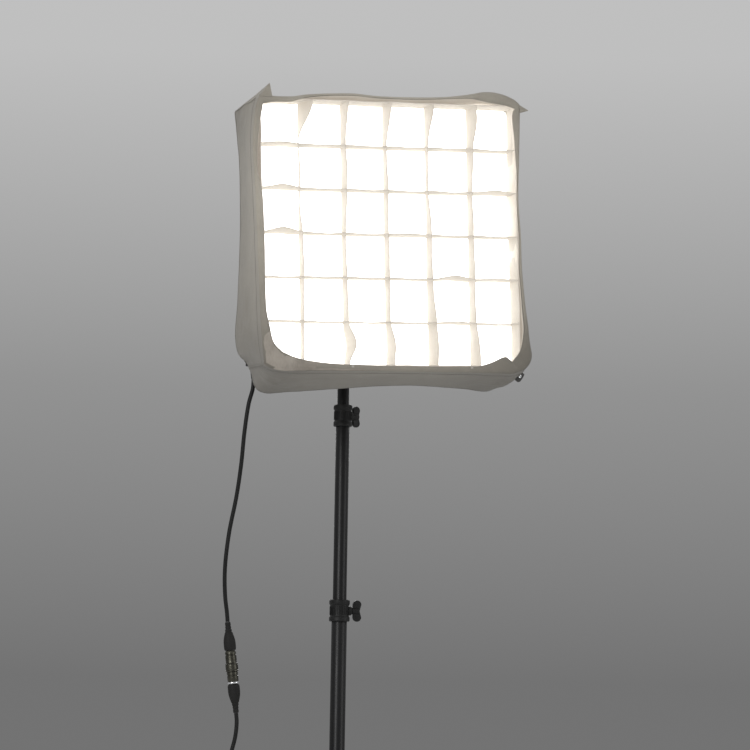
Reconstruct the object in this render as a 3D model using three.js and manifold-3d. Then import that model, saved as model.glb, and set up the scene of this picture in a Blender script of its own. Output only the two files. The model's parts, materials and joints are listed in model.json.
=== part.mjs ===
// A square LED mat light with a fabric softbox and egg-crate grid, on a four-section light stand.
// Millimetres, +Z up. The light faces -Y. The origin is on the floor, under the middle of the footprint.
import * as THREE from "three";
import { mergeVertices } from "three/addons/utils/BufferGeometryUtils.js";
import Module from "manifold-3d";

const wasm = await Module();
wasm.setup();

// ---- Driving dimensions ----

const gap = 0.3; // between pieces that touch

// Light head
const lampHeight = 1420; // centre of the light above the floor
const faceRoll = THREE.MathUtils.degToRad(2); // the holder is set this far off square on its hub
const matSide = 457; // 18 inch class
const matSetback = 125; // rear face of the mat ahead of the mast's axis
const softboxDepth = 170; // mat to front edge
const wall = 2; // fabric wall
const wallHalf = 231; // outer face of each wall from the centre
const gridCells = 6;
const gridSide = 444;
const gridDepth = 45;
const clothGauge = 1.6;
const rimDepth = 25;
const earRise = 22; // how far the left wall stands above the top one at the front
const earReach = 17; // how far the top wall stands past the right one at the front

// Holder, tilt joint and receiver
const armWidth = 12;
const armGauge = 3;
const pocketGauge = 8;
const hubRadius = 40;
const tiltSetback = 55; // tilt axis ahead of the mast's axis
const tongueWidth = 26;
const earGauge = 6;
const receiverRadius = 17;
const receiverHeight = 60;
const spigotRadius = 7.95;

// Mast: outer radius of each tube, from the top one to the base one
const tubeRadius = [10.5, 12, 13.5, 15];
const tubeWallThickness = 1.1;
const collarDrop = [282.5, 623.7, 965]; // clamp collars below the lamp's centre
const collarHeight = 38;
const upperCollarTurn = (25 * Math.PI) / 180; // the upper knob points right and a little back
const tubeOverlap = 50; // how far a tube reaches below its collar
const screwClearance = 7; // a thick tube ends this far below its collar's screw
const baseTubeFoot = 45; // lower end of the base tube above the floor

// Legs
const legCount = 3;
const legLength = 430; // pivot to tip
const legWidth = 10;
const legDepth = 18;
const legWall = 1.4;
const legAngle = THREE.MathUtils.degToRad(58); // from vertical, open
const legPivotRadius = 30;
const legPivotHeight = 239;
const bracePivotHeight = 66;
const braceGauge = 2;
const braceDepth = 14;
const legCollarRadius = 20;

// Lead
const leadRadius = 3.5;
const coilCentre = [-130, -75];
const coilMiddle = 42; // radius of the middle turn
const coilTurnsWide = 3;
const coilTurnsHigh = 3;

// The footprint's middle lies ahead of the mast, so the mast stands behind the origin
const mastSetback = 99;

// ---- Finishes ----

function finish(color, roughness, metalness = 0) {
  return new THREE.MeshStandardMaterial({ color, roughness, metalness });
}

const blackFabric = finish(0x1c1b1a, 0.95);
const gridFabric = finish(0xb9a48c, 0.9);
const whiteCloth = finish(0xf4f2ee, 0.8);
const boardWhite = finish(0xe6e2d2, 0.6);
const blackPaint = finish(0x121213, 0.45, 0.4);
const blackPlastic = finish(0x161616, 0.55);
const blackRubber = finish(0x101010, 0.9);
const springSteel = finish(0x8b8d90, 0.35, 1);
const shellMetal = finish(0x4c4a42, 0.35, 1);
const spigotMetal = finish(0xb7b9bc, 0.3, 1);

// ---- Solids ----

function solidOf(geometry) {
  const bare = geometry.clone();
  bare.deleteAttribute("normal");
  bare.deleteAttribute("uv");
  const merged = mergeVertices(bare, 1e-4);
  return new wasm.Manifold(
    new wasm.Mesh({
      numProp: 3,
      vertProperties: new Float32Array(merged.attributes.position.array),
      triVerts: new Uint32Array(merged.index.array),
    }),
  );
}

function geometryOf(solid) {
  const mesh = solid.getMesh();
  const geometry = new THREE.BufferGeometry();
  geometry.setAttribute("position", new THREE.BufferAttribute(mesh.vertProperties, 3));
  geometry.setIndex(new THREE.BufferAttribute(mesh.triVerts, 1));
  geometry.computeVertexNormals();
  return geometry;
}

function join(...geometries) {
  return geometryOf(geometries.map(solidOf).reduce((whole, next) => whole.add(next)));
}

function cut(geometry, ...tools) {
  return geometryOf(tools.map(solidOf).reduce((left, tool) => left.subtract(tool), solidOf(geometry)));
}

// A box between two opposite corners.
function block(low, high) {
  const size = high.map((value, axis) => value - low[axis]);
  const middle = high.map((value, axis) => (value + low[axis]) / 2);
  return new THREE.BoxGeometry(...size).translate(...middle);
}

// A round bar along Z from low to high.
function bar(radius, low, high, sides = 24) {
  return new THREE.CylinderGeometry(radius, radius, high - low, sides)
    .rotateX(Math.PI / 2)
    .translate(0, 0, (low + high) / 2);
}

// A turned piece about Z; the outline is a list of [radius, height] that runs anticlockwise.
function turned(outline, sides = 24) {
  return new THREE.LatheGeometry(
    outline.map(([radius, height]) => new THREE.Vector2(radius, height)),
    sides,
  ).rotateX(Math.PI / 2);
}

// A tube about Z: its outline closes on itself.
function pipe(outer, inner, low, high, sides = 24) {
  return turned([[inner, low], [outer, low], [outer, high], [inner, high], [inner, low]], sides);
}

// A flat plate with an outline in X and Z, from low to high along Y.
function plateAcrossY(points, low, high) {
  const shape = new THREE.Shape(points.map(([x, z]) => new THREE.Vector2(x, z)));
  return new THREE.ExtrudeGeometry(shape, { depth: high - low, bevelEnabled: false })
    .rotateX(Math.PI / 2)
    .translate(0, high, 0);
}

// A flat plate with an outline in Y and Z, from low to high along X.
function plateAcrossX(points, low, high) {
  return plateAcrossY(points, -high, -low).rotateZ(Math.PI / 2);
}

// A flat plate with an outline in X and Y, from low to high along Z.
function plateAcrossZ(points, low, high) {
  const shape = new THREE.Shape(points.map(([x, y]) => new THREE.Vector2(x, y)));
  return new THREE.ExtrudeGeometry(shape, { depth: high - low, bevelEnabled: false }).translate(0, 0, low);
}

function add(parent, name, geometry, material) {
  const mesh = new THREE.Mesh(geometry, material);
  mesh.name = name;
  parent.add(mesh);
  return mesh;
}

// ---- Groups ----

const light = new THREE.Group();
const mast = new THREE.Group(); // its Z axis is the mast's axis, with z = 0 on the floor
mast.position.y = mastSetback;
light.add(mast);
const head = new THREE.Group(); // centred on the light's face, behind which the mast stands
head.position.z = lampHeight;
mast.add(head);
const face = new THREE.Group(); // what turns with the holder's hub, set a little off square
face.rotation.y = -faceRoll;
head.add(face);

// ---- Mat and its holder ----

const matRear = -matSetback;
const matFront = matRear - 7;

function addMat() {
  const half = matSide / 2;
  const board = half - 13;
  add(face, "mat_back_cover", block([-half, matRear - 1.5, -half], [half, matRear, half]), blackFabric);
  add(
    face,
    "led_board",
    block([-board, matRear - 4, -board], [board, matRear - 1.5 - gap, board]),
    boardWhite,
  );
  const ring = cut(
    block([-half, matFront, -half], [half, matRear - 1.5 - gap, half]),
    block([-board - 1, matFront - 5, -board - 1], [board + 1, matRear, board + 1]),
  );
  add(face, "mat_binding", ring, blackFabric);
}

const armTip = matSide / 2 - 18; // along X and Z

// A spring-steel arm along its own diagonal, from the hub to the mat's corner.
function armSolid(corner, clearance = 0) {
  const reach = armTip * Math.SQRT2 + clearance;
  const half = armWidth / 2 + clearance;
  return block(
    [hubRadius * 0.45 - clearance, matRear + 2.5 - clearance, -half],
    [reach, matRear + 2.5 + armGauge + clearance, half],
  ).rotateY(-corner);
}

function addHolder() {
  const corners = { top_right: 45, top_left: 135, bottom_left: 225, bottom_right: 315 };
  const slots = [];
  for (const [name, degrees] of Object.entries(corners)) {
    const turn = THREE.MathUtils.degToRad(degrees);
    const signX = Math.sign(Math.cos(turn));
    const signZ = Math.sign(Math.sin(turn));
    const near = matSide / 2 - 68;
    const far = matSide / 2 - 3;
    add(face, "arm_" + name, armSolid(turn), springSteel);
    slots.push(armSolid(turn, gap));
    // The pocket is a triangle of webbing sewn over the corner, open towards the hub
    const outline = [[signX * far, signZ * far], [signX * near, signZ * far], [signX * far, signZ * near]];
    const pocket = cut(
      plateAcrossY(signX * signZ > 0 ? outline : outline.reverse(), matRear + gap, matRear + pocketGauge),
      armSolid(turn, 2 * gap),
    );
    add(face, "pocket_" + name, pocket, blackFabric);
  }
  const disc = bar(hubRadius, 0, 14, 32).rotateX(-Math.PI / 2).translate(0, matRear + gap, 0);
  add(face, "holder_hub", cut(disc, ...slots), blackPlastic);
}

// ---- Tilt joint and receiver ----

const hubRear = matRear + gap + 14;

function addTiltJoint() {
  const pinRadius = 5;
  const earRadius = 16;
  const innerFace = tongueWidth / 2 + 0.5;
  const outerFace = innerFace + earGauge;
  const plate = bar(25, 0, 7).rotateX(-Math.PI / 2).translate(0, hubRear + gap, 0);
  const earBlank = (low, high) =>
    join(
      block([low, hubRear + 4, -earRadius], [high, -tiltSetback, earRadius]),
      bar(earRadius, low, high).rotateY(Math.PI / 2).translate(0, -tiltSetback, 0),
    );
  const pinHole = bar(pinRadius + 0.1, -40, 40).rotateY(Math.PI / 2).translate(0, -tiltSetback, 0);
  const fork = cut(join(plate, earBlank(innerFace, outerFace), earBlank(-outerFace, -innerFace)), pinHole);
  add(head, "tilt_fork", fork, blackPaint);

  // The pin has a head on the side away from the lever
  const pin = join(
    bar(pinRadius, -outerFace - 3, outerFace + 1),
    bar(9, outerFace + gap, outerFace + 5, 6),
  );
  add(head, "tilt_pin", pin.rotateY(Math.PI / 2).translate(0, -tiltSetback, 0), springSteel);

  const tongueRadius = 14;
  const tongue = cut(
    join(
      block([-tongueWidth / 2, -tiltSetback, -tongueRadius], [tongueWidth / 2, -10, tongueRadius]),
      bar(tongueRadius, -tongueWidth / 2, tongueWidth / 2).rotateY(Math.PI / 2).translate(0, -tiltSetback, 0),
    ),
    pinHole,
    bar(receiverRadius + gap, -40, 40),
  );
  add(head, "tilt_tongue", tongue, blackPaint);

  const boreRadius = spigotRadius + 0.25;
  const receiver = turned([
    [0, 18],
    [boreRadius, 18],
    [boreRadius, -receiverHeight / 2],
    [receiverRadius, -receiverHeight / 2],
    [receiverRadius, receiverHeight / 2 - 3],
    [receiverRadius - 3, receiverHeight / 2],
    [0, receiverHeight / 2],
  ]);
  const knobHole = bar(4.3, 0, 40).rotateY(Math.PI / 2).translate(0, 0, -6);
  add(head, "receiver_socket", cut(receiver, knobHole), blackPaint);

  // A lever on the pin's other end clamps the fork
  const leverNear = -outerFace - 4;
  const lever = join(
    bar(9, leverNear - 16, leverNear).rotateY(Math.PI / 2),
    block([leverNear - 15, -6, -44], [leverNear - 8, 6, 0]),
    bar(6, leverNear - 15, leverNear - 8).rotateY(Math.PI / 2).translate(0, 0, -44),
  );
  add(head, "tilt_lever", lever.rotateX(-0.5).translate(0, -tiltSetback, 0), blackPlastic);

  add(head, "receiver_knob", starKnob(receiverRadius + 5).translate(0, 0, -6), blackPlastic);
}

// A six-lobed knob on a screw along X, its head starting at the given distance.
function starKnob(headStart) {
  const lobes = 6;
  const points = [];
  for (let step = 0; step < 48; step += 1) {
    const turn = (step / 48) * 2 * Math.PI;
    const radius = 14.5 + 2.2 * Math.cos(lobes * turn);
    points.push([radius * Math.cos(turn), radius * Math.sin(turn)]);
  }
  return join(
    plateAcrossZ(points, headStart + 3, headStart + 17),
    bar(8, headStart, headStart + 4),
    bar(4, spigotRadius + 0.6, headStart + 1),
  ).rotateY(Math.PI / 2);
}

// ---- Softbox ----

const frontEdge = matFront - softboxDepth + 7;

function addSoftbox() {
  const outer = wallHalf;
  const inner = wallHalf - wall;
  const back = matFront - gap;
  const left = [[back, -outer], [back, outer], [frontEdge, outer + earRise], [frontEdge, -outer]];
  add(face, "left_wall", plateAcrossX(left, -outer, -inner), blackFabric);
  const right = [[back, -outer], [back, inner - gap], [frontEdge, inner - gap], [frontEdge, -outer]];
  add(face, "right_wall", plateAcrossX(right, inner, outer), blackFabric);
  const top = [
    [-inner + gap, frontEdge],
    [outer + earReach, frontEdge],
    [outer, back],
    [-inner + gap, back],
  ];
  add(face, "top_wall", plateAcrossZ(top, inner, outer), blackFabric);
  const side = inner - gap;
  add(face, "bottom_wall", block([-side, frontEdge, -outer], [side, back, -inner]), blackFabric);

  // The rim is a stitched band inside the front edge, which the diffuser and the grid hang on
  const rimInner = gridSide / 2 + clothGauge;
  const rim = cut(
    block([-inner + gap, frontEdge, -inner + gap], [inner - gap, frontEdge + rimDepth, inner - gap]),
    block([-rimInner, frontEdge - 5, -rimInner], [rimInner, frontEdge + rimDepth + 5, rimInner]),
  );
  add(face, "front_rim", rim, blackFabric);

  const clothHalf = inner - 2;
  const clothFront = frontEdge + gridDepth + 5;
  add(
    face,
    "front_diffuser",
    block([-clothHalf, clothFront, -clothHalf], [clothHalf, clothFront + clothGauge, clothHalf]),
    whiteCloth,
  );
}

function addGrid() {
  const pitch = gridSide / gridCells;
  const front = frontEdge + 2;
  const back = front + gridDepth;
  const side = (gridSide + clothGauge) / 2;
  const half = (pitch - clothGauge) / 2;
  const cells = [];
  for (let column = 0; column < gridCells; column += 1) {
    for (let row = 0; row < gridCells; row += 1) {
      const [x, z] = [column, row].map((index) => (index + 0.5) * pitch - gridSide / 2);
      cells.push(block([x - half, front - 5, z - half], [x + half, back + 5, z + half]));
    }
  }
  const slab = block([-side, front, -side], [side, back, side]);
  add(face, "egg_crate_grid", cut(slab, ...cells), gridFabric);
}

// ---- Mast ----

// The joints of the mast, above the floor
const collarHeightAt = collarDrop.map((drop) => lampHeight - drop);
const tubeTop = [
  lampHeight - receiverHeight / 2 - 6,
  ...collarHeightAt.map((height) => height - screwClearance),
];
const tubeFoot = [...collarHeightAt.map((height) => height - tubeOverlap), baseTubeFoot];
const tubeNames = ["top_tube", "upper_middle_tube", "lower_middle_tube", "base_tube"];

function addTubes() {
  tubeNames.forEach((name, index) => {
    const outer = tubeRadius[index];
    add(mast, name, pipe(outer, outer - tubeWallThickness, tubeFoot[index], tubeTop[index]), blackPaint);
  });
  // The spigot plugs the top tube and stands out of it
  const spigot = turned([
    [0, tubeTop[0] - 25],
    [tubeRadius[0] - tubeWallThickness - gap, tubeTop[0] - 25],
    [tubeRadius[0] - tubeWallThickness - gap, tubeTop[0] + gap],
    [tubeRadius[0] + 1, tubeTop[0] + gap],
    [tubeRadius[0] + 1, tubeTop[0] + 4],
    [spigotRadius, tubeTop[0] + 4],
    [spigotRadius, tubeTop[0] + 48],
    [spigotRadius - 1.5, tubeTop[0] + 50],
    [0, tubeTop[0] + 50],
  ]);
  add(mast, "spigot", spigot, spigotMetal);
}

// A clamp collar sits on the top end of a tube and grips the thinner tube inside it.
function addCollar(name, knobName, index, turn = 0) {
  const height = collarHeightAt[index];
  const thinBore = tubeRadius[index] + 0.4;
  const thickBore = tubeRadius[index + 1] + gap;
  const body = tubeRadius[index + 1] + 3;
  const low = height - collarHeight / 2;
  const high = height + collarHeight / 2;
  const tubeEnd = tubeTop[index + 1] + gap;
  const sleeve = turned([
    [thinBore, high],
    [thinBore, tubeEnd],
    [thickBore, tubeEnd],
    [thickBore, low],
    [body, low],
    [body + 1.5, low + 2],
    [body + 1.5, low + 8],
    [body, low + 10],
    [body, high - 10],
    [body + 1.5, high - 8],
    [body + 1.5, high - 2],
    [body, high],
    [thinBore, high],
  ]);
  const boss = block([body - 2, -7.5, height - 9], [body + 4.5, 7.5, height + 9]).rotateZ(turn);
  const screwHole = bar(3.4, 0, 60).rotateY(Math.PI / 2).translate(0, 0, height).rotateZ(turn);
  const hollow = join(bar(thinBore, 0, lampHeight), bar(thickBore, 0, tubeEnd));
  add(mast, name, cut(join(sleeve, boss), screwHole, hollow), blackPlastic);
  const knob = wingKnob(tubeRadius[index] + 0.7, body + 5.5).translate(0, 0, height).rotateZ(turn);
  add(mast, knobName, knob, blackPlastic);
}

// A butterfly knob on a screw along X: the screw's tip, then where the wings start.
function wingKnob(tip, start) {
  const wing = new THREE.Shape();
  wing.moveTo(start + 1, 0);
  wing.absellipse(start + 9.5, 11, 7.5, 7.5, Math.PI, 0, true);
  wing.lineTo(start + 14, 0);
  wing.lineTo(start + 17, -11);
  wing.absellipse(start + 9.5, -11, 7.5, 7.5, 0, -Math.PI, true);
  const wings = new THREE.ExtrudeGeometry(wing, { depth: 5, bevelEnabled: false, curveSegments: 10 })
    .rotateX(Math.PI / 2)
    .translate(0, 2.5, 0);
  return join(wings, bar(6, start, start + 13, 20).rotateY(Math.PI / 2), bar(3, tip, start + 2, 20).rotateY(Math.PI / 2));
}

// ---- Legs ----

// Each leg and brace is drawn in the plane of X and Z, then turned about the mast.
const legTurns = { front: -90, right: 30, left: 150 };
const legDirection = new THREE.Vector2(Math.sin(legAngle), -Math.cos(legAngle));
const braceLength = (legPivotHeight - bracePivotHeight) / (2 * Math.cos(legAngle));

// A bar in the plane of X and Z: points run [along, across] from a pivot, tilted by an angle from straight down.
function swung(geometry, angle, pivotHeight) {
  return geometry.rotateY(-angle).translate(legPivotRadius, 0, pivotHeight);
}

function addLeg(name, degrees) {
  const turn = THREE.MathUtils.degToRad(degrees);
  const half = legDepth / 2;
  const outside = block([-half, -legWidth / 2, -legLength], [half, legWidth / 2, 0]);
  const inside = block(
    [-half + legWall, -legWidth / 2 + legWall, -legLength - 1],
    [half - legWall, legWidth / 2 - legWall, -half - 4],
  );
  const eye = bar(half, -legWidth / 2, legWidth / 2).rotateX(Math.PI / 2);
  const leg = cut(join(outside, eye), inside);
  add(mast, "leg_" + name, swung(leg, legAngle, legPivotHeight), blackPaint).rotation.z = turn;

  // The foot is a rubber boot over the leg's end, with a flat sole on the floor
  const sleeve = cut(
    block([-half - 3, -legWidth / 2 - 4, -legLength - 12], [half + 3, legWidth / 2 + 4, -legLength + 34]),
    block([-half - gap, -legWidth / 2 - gap, -legLength - gap], [half + gap, legWidth / 2 + gap, -legLength + 40]),
  );
  const below = block([0, -50, -100], [800, 50, 0]);
  const foot = cut(swung(sleeve, legAngle, legPivotHeight), below);
  add(mast, "foot_" + name, foot, blackRubber).rotation.z = turn;
}

function addBrace(name, degrees) {
  const half = braceDepth / 2;
  const strap = (low, high) =>
    join(
      block([-half, low, 0], [half, high, braceLength]),
      bar(half, low, high).rotateX(-Math.PI / 2),
      bar(half, low, high).rotateX(-Math.PI / 2).translate(0, 0, braceLength),
    );
  const near = legWidth / 2 + 0.5;
  const far = near + braceGauge;
  const web = block([-half, -far, 20], [-half + braceGauge, far, 60]);
  const brace = join(strap(near, far), strap(-far, -near), web);
  add(mast, "brace_" + name, swung(brace, -legAngle, bracePivotHeight).clone(), blackPaint).rotation.z =
    THREE.MathUtils.degToRad(degrees);
}

function addLegCollars() {
  const bore = tubeRadius[3] + gap;
  const turns = Object.values(legTurns).map(THREE.MathUtils.degToRad);
  const ears = [];
  const tongues = [];
  for (const turn of turns) {
    for (const side of [-1, 1]) {
      const near = legWidth / 2 + 0.6;
      const cheek = block(
        [legCollarRadius - 3, Math.min(side * near, side * (near + 3.5)), -11],
        [legPivotRadius + 8, Math.max(side * near, side * (near + 3.5)), 11],
      );
      ears.push(cheek.translate(0, 0, legPivotHeight).rotateZ(turn));
    }
    tongues.push(
      join(
        block([legCollarRadius - 3, -legWidth / 2, -8], [legPivotRadius, legWidth / 2, 8]),
        bar(8, -legWidth / 2, legWidth / 2).rotateX(Math.PI / 2).translate(legPivotRadius, 0, 0),
      )
        .translate(0, 0, bracePivotHeight)
        .rotateZ(turn),
    );
  }
  const knobTurn = THREE.MathUtils.degToRad(-30);
  const boss = block([legCollarRadius - 3, -7, -7], [legCollarRadius + 5, 7, 7])
    .translate(0, 0, legPivotHeight)
    .rotateZ(knobTurn);
  const knobHole = bar(3.4, 0, 60).rotateY(Math.PI / 2).translate(0, 0, legPivotHeight).rotateZ(knobTurn);
  const legSleeve = pipe(legCollarRadius, bore, legPivotHeight - 20, legPivotHeight + 20);
  const tube = bar(bore, 0, 500);
  add(mast, "leg_collar", cut(join(legSleeve, ...ears, boss), knobHole, tube), blackPlastic);
  add(
    mast,
    "leg_collar_knob",
    wingKnob(tubeRadius[3] + 0.7, legCollarRadius + 5.5).translate(0, 0, legPivotHeight),
    blackPlastic,
  ).rotation.z = knobTurn;

  // The bottom collar also closes the base tube's lower end
  const cup = turned([
    [0, baseTubeFoot - 7],
    [legCollarRadius - 2, baseTubeFoot - 7],
    [legCollarRadius, baseTubeFoot - 4],
    [legCollarRadius, bracePivotHeight + 14],
    [bore, bracePivotHeight + 14],
    [bore, baseTubeFoot - gap],
    [0, baseTubeFoot - gap],
  ]);
  add(mast, "bottom_collar", cut(join(cup, ...tongues), bar(bore, baseTubeFoot - gap, 500)), blackPlastic);
}

// ---- Lead ----

// A round lead along a list of points, with a step about every two and a half diameters.
function lead(points) {
  const curve = new THREE.CatmullRomCurve3(points.map((point) => new THREE.Vector3(...point)), false, "centripetal");
  const section = new THREE.Shape().absarc(0, 0, leadRadius, 0, 2 * Math.PI);
  const steps = Math.ceil(curve.getLength() / (5 * leadRadius));
  return new THREE.ExtrudeGeometry(section, { steps, curveSegments: 5, extrudePath: curve });
}

// Where the lead runs, about the mast's axis and above the floor
const glandTip = [-188, -109.5, 1184];
const plugTop = [-214, -65, 771];
const plugFoot = [-196, -65, 618];
const panelLead = [
  [-188, -109.5, 1183.7],
  [-189, -109.5, 1168],
  [-195.5, -109, 1142],
  [-201.5, -107, 1093],
  [-204, -99, 1040],
  [-209.2, -91, 985],
  [-219.3, -83, 920],
  [-223.3, -76, 860],
  [-220.5, -70, 815],
  [-215.6, -65.5, 786],
  [-214.1, -65, 771.4],
];
const dropLead = [
  [-195.9, -65, 617.6],
  [-194.5, -64.8, 603],
  [-196, -63, 578],
  [-203, -60, 545],
  [-209, -55, 500],
  [-213, -48, 430],
  [-213, -40, 340],
  [-210, -32, 250],
  [-206, -25, 160],
  [-203, -20, 90],
  [-202, -17, 52],
];
const floorLead = [
  [-202, -16.9, 51.6],
  [-202, -17.5, 36],
  [-202.6, -23, 20],
  [-203.2, -33, 9],
  [-203.2, -46, 4.3],
  [-201.3, -57, 3.6],
  [-195.2, -67.4, 3.6],
  [-186.2, -80.2, 3.6],
];

function addLead() {
  // The gland is a tapered sleeve on a foot that is fixed to the corner pocket
  const [glandX, glandY, glandZ] = glandTip;
  const gland = join(
    turned([[0, 0], [4.2, 0], [7, 24], [7, 30], [0, 30]], 20).translate(glandX, glandY, glandZ + gap),
    block([glandX - 13, matRear + pocketGauge + gap, glandZ + 22], [glandX + 13, glandY + 7, glandZ + 44]),
  );
  add(mast, "cable_gland", gland, blackRubber);
  add(mast, "panel_lead", lead(panelLead), blackRubber);

  // In-line connector, from its upper boot to its lower one
  const axis = new THREE.Group();
  const top = new THREE.Vector3(...plugTop);
  const foot = new THREE.Vector3(...plugFoot);
  axis.position.copy(top);
  axis.quaternion.setFromUnitVectors(new THREE.Vector3(0, 0, -1), foot.clone().sub(top).normalize());
  mast.add(axis);
  const total = foot.distanceTo(top);
  const boot = 48;
  const shell = (total - 2 * boot - 14) / 2;
  const ringTop = -boot - shell;
  // Each boot swells from the lead to a bulb, then closes in on its shell
  const bulb = [[0, boot], [9.4, boot], [10.4, 44], [10.4, 35], [7.2, 20], [4.9, 8], [4.4, 0], [0, 0]];
  const upperBoot = turned(bulb.map(([radius, along]) => [radius, -along]), 20);
  add(axis, "upper_boot", upperBoot, blackRubber);
  add(
    axis,
    "socket_shell",
    turned([[0, ringTop + gap], [9.5, ringTop + gap], [9.5, -boot - gap - 3], [8, -boot - gap], [0, -boot - gap]], 24),
    shellMetal,
  );
  add(axis, "coupling_ring", turned([[0, ringTop - 14], [10.8, ringTop - 14], [10.8, ringTop], [0, ringTop]], 24), shellMetal);
  const plugEnd = -total + boot + gap;
  add(
    axis,
    "plug_shell",
    turned([[0, plugEnd], [8, plugEnd], [9.5, plugEnd + 3], [9.5, ringTop - 14 - gap], [0, ringTop - 14 - gap]], 24),
    shellMetal,
  );
  const lowerBoot = turned(bulb.map(([radius, along]) => [radius, along - total]).reverse(), 20);
  add(axis, "lower_boot", lowerBoot, blackRubber);

  add(mast, "hanging_lead", lead(dropLead), blackRubber);
  add(mast, "floor_lead", lead(floorLead), blackRubber);

  // The spare length is a neat round coil on the floor
  const halfWide = coilTurnsWide * leadRadius;
  const high = coilTurnsHigh * 2 * leadRadius;
  const coil = pipe(coilMiddle + halfWide, coilMiddle - halfWide, 0.1, high, 40);
  add(mast, "lead_coil", coil.translate(coilCentre[0], coilCentre[1], 0), blackRubber);

  // Its end comes off the top of the coil into a round connector that lies across the turns
  const plug = join(
    turned([[0, 0], [4.4, 0], [7.4, 28], [7.4, 34], [0, 34]], 20),
    turned([[0, 33], [9, 33], [9.5, 36], [9.5, 62], [0, 62]], 24),
  );
  const across = plug.rotateY(Math.PI / 2).translate(coilCentre[0] - 16.8, coilCentre[1] - 12, high + 9.8);
  add(mast, "end_plug", across, shellMetal);
}

addMat();
addHolder();
addTiltJoint();
addSoftbox();
addGrid();
addTubes();
addCollar("upper_collar", "upper_wing_knob", 0, upperCollarTurn);
addCollar("middle_collar", "middle_wing_knob", 1);
addCollar("lower_collar", "lower_wing_knob", 2);
addLegCollars();
for (const [name, degrees] of Object.entries(legTurns)) {
  addLeg(name, degrees);
  addBrace(name, degrees);
}
addLead();

export default light;
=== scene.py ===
"""A square LED mat light with a fabric softbox and egg-crate grid, on a four-section light stand.

Everything is in metres in the row frame: +Z up, the light faces -Y. Soft shapes on the light are drawn in
millimetres in the face frame, whose origin is the centre of the light, and are turned with it.
"""

import json
import math

import bmesh
import bpy
from mathutils import Matrix, Vector, noise


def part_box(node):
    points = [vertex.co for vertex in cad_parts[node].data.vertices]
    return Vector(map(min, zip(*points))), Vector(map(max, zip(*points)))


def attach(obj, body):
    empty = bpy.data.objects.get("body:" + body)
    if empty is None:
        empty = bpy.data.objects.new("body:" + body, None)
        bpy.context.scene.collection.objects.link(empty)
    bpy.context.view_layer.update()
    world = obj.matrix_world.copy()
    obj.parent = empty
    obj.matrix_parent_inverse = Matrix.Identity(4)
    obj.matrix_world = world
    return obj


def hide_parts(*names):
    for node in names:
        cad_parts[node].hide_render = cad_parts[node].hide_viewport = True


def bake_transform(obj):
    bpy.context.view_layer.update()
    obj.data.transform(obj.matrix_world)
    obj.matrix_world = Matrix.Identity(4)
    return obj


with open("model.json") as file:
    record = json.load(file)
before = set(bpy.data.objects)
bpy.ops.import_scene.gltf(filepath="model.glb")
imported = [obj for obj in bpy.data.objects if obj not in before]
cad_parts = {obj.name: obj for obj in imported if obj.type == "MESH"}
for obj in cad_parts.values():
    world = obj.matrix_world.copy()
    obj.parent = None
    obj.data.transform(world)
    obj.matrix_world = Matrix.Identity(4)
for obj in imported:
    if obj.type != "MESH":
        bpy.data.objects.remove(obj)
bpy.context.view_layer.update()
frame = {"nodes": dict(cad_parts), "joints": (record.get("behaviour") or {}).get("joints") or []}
MM = 0.001  # a millimetre in metres

mast_y = sum(corner.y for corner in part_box("base_tube")) / 2
tilt_joint = next(joint for joint in frame["joints"] if joint["name"] == "head_tilt")
lamp_height = tilt_joint["pos_m"][2]
FACE_ROLL = math.radians(-2)
FACE = Matrix.Translation((0, mast_y, lamp_height)) @ Matrix.Rotation(FACE_ROLL, 4, "Y") @ Matrix.Scale(MM, 4)
MAST = Matrix.Translation((0, mast_y, 0)) @ Matrix.Scale(MM, 4)


# ---- Camera ----


def add_camera():
    """A long lens, low and a little to the left of the light, that looks up at it."""
    yaw = math.radians(15.634)
    pitch = math.radians(5.954)
    roll = math.radians(0.953)
    spot = (-1.3258, -4.8435, 0.6770)
    ahead = Vector((math.sin(yaw) * math.cos(pitch), math.cos(yaw) * math.cos(pitch), math.sin(pitch)))
    level = Vector((math.cos(yaw), -math.sin(yaw), 0))
    upright = level.cross(ahead)
    right = math.cos(roll) * level + math.sin(roll) * upright
    up = math.cos(roll) * upright - math.sin(roll) * level
    data = bpy.data.cameras.new("camera")
    data.lens = 140.4
    data.sensor_width = 36
    camera = bpy.data.objects.new("camera", data)
    camera.matrix_world = Matrix.Translation(spot) @ Matrix((right, up, -ahead)).transposed().to_4x4()
    bpy.context.scene.collection.objects.link(camera)
    bpy.context.scene.camera = camera


add_camera()


# ---- Materials ----


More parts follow.
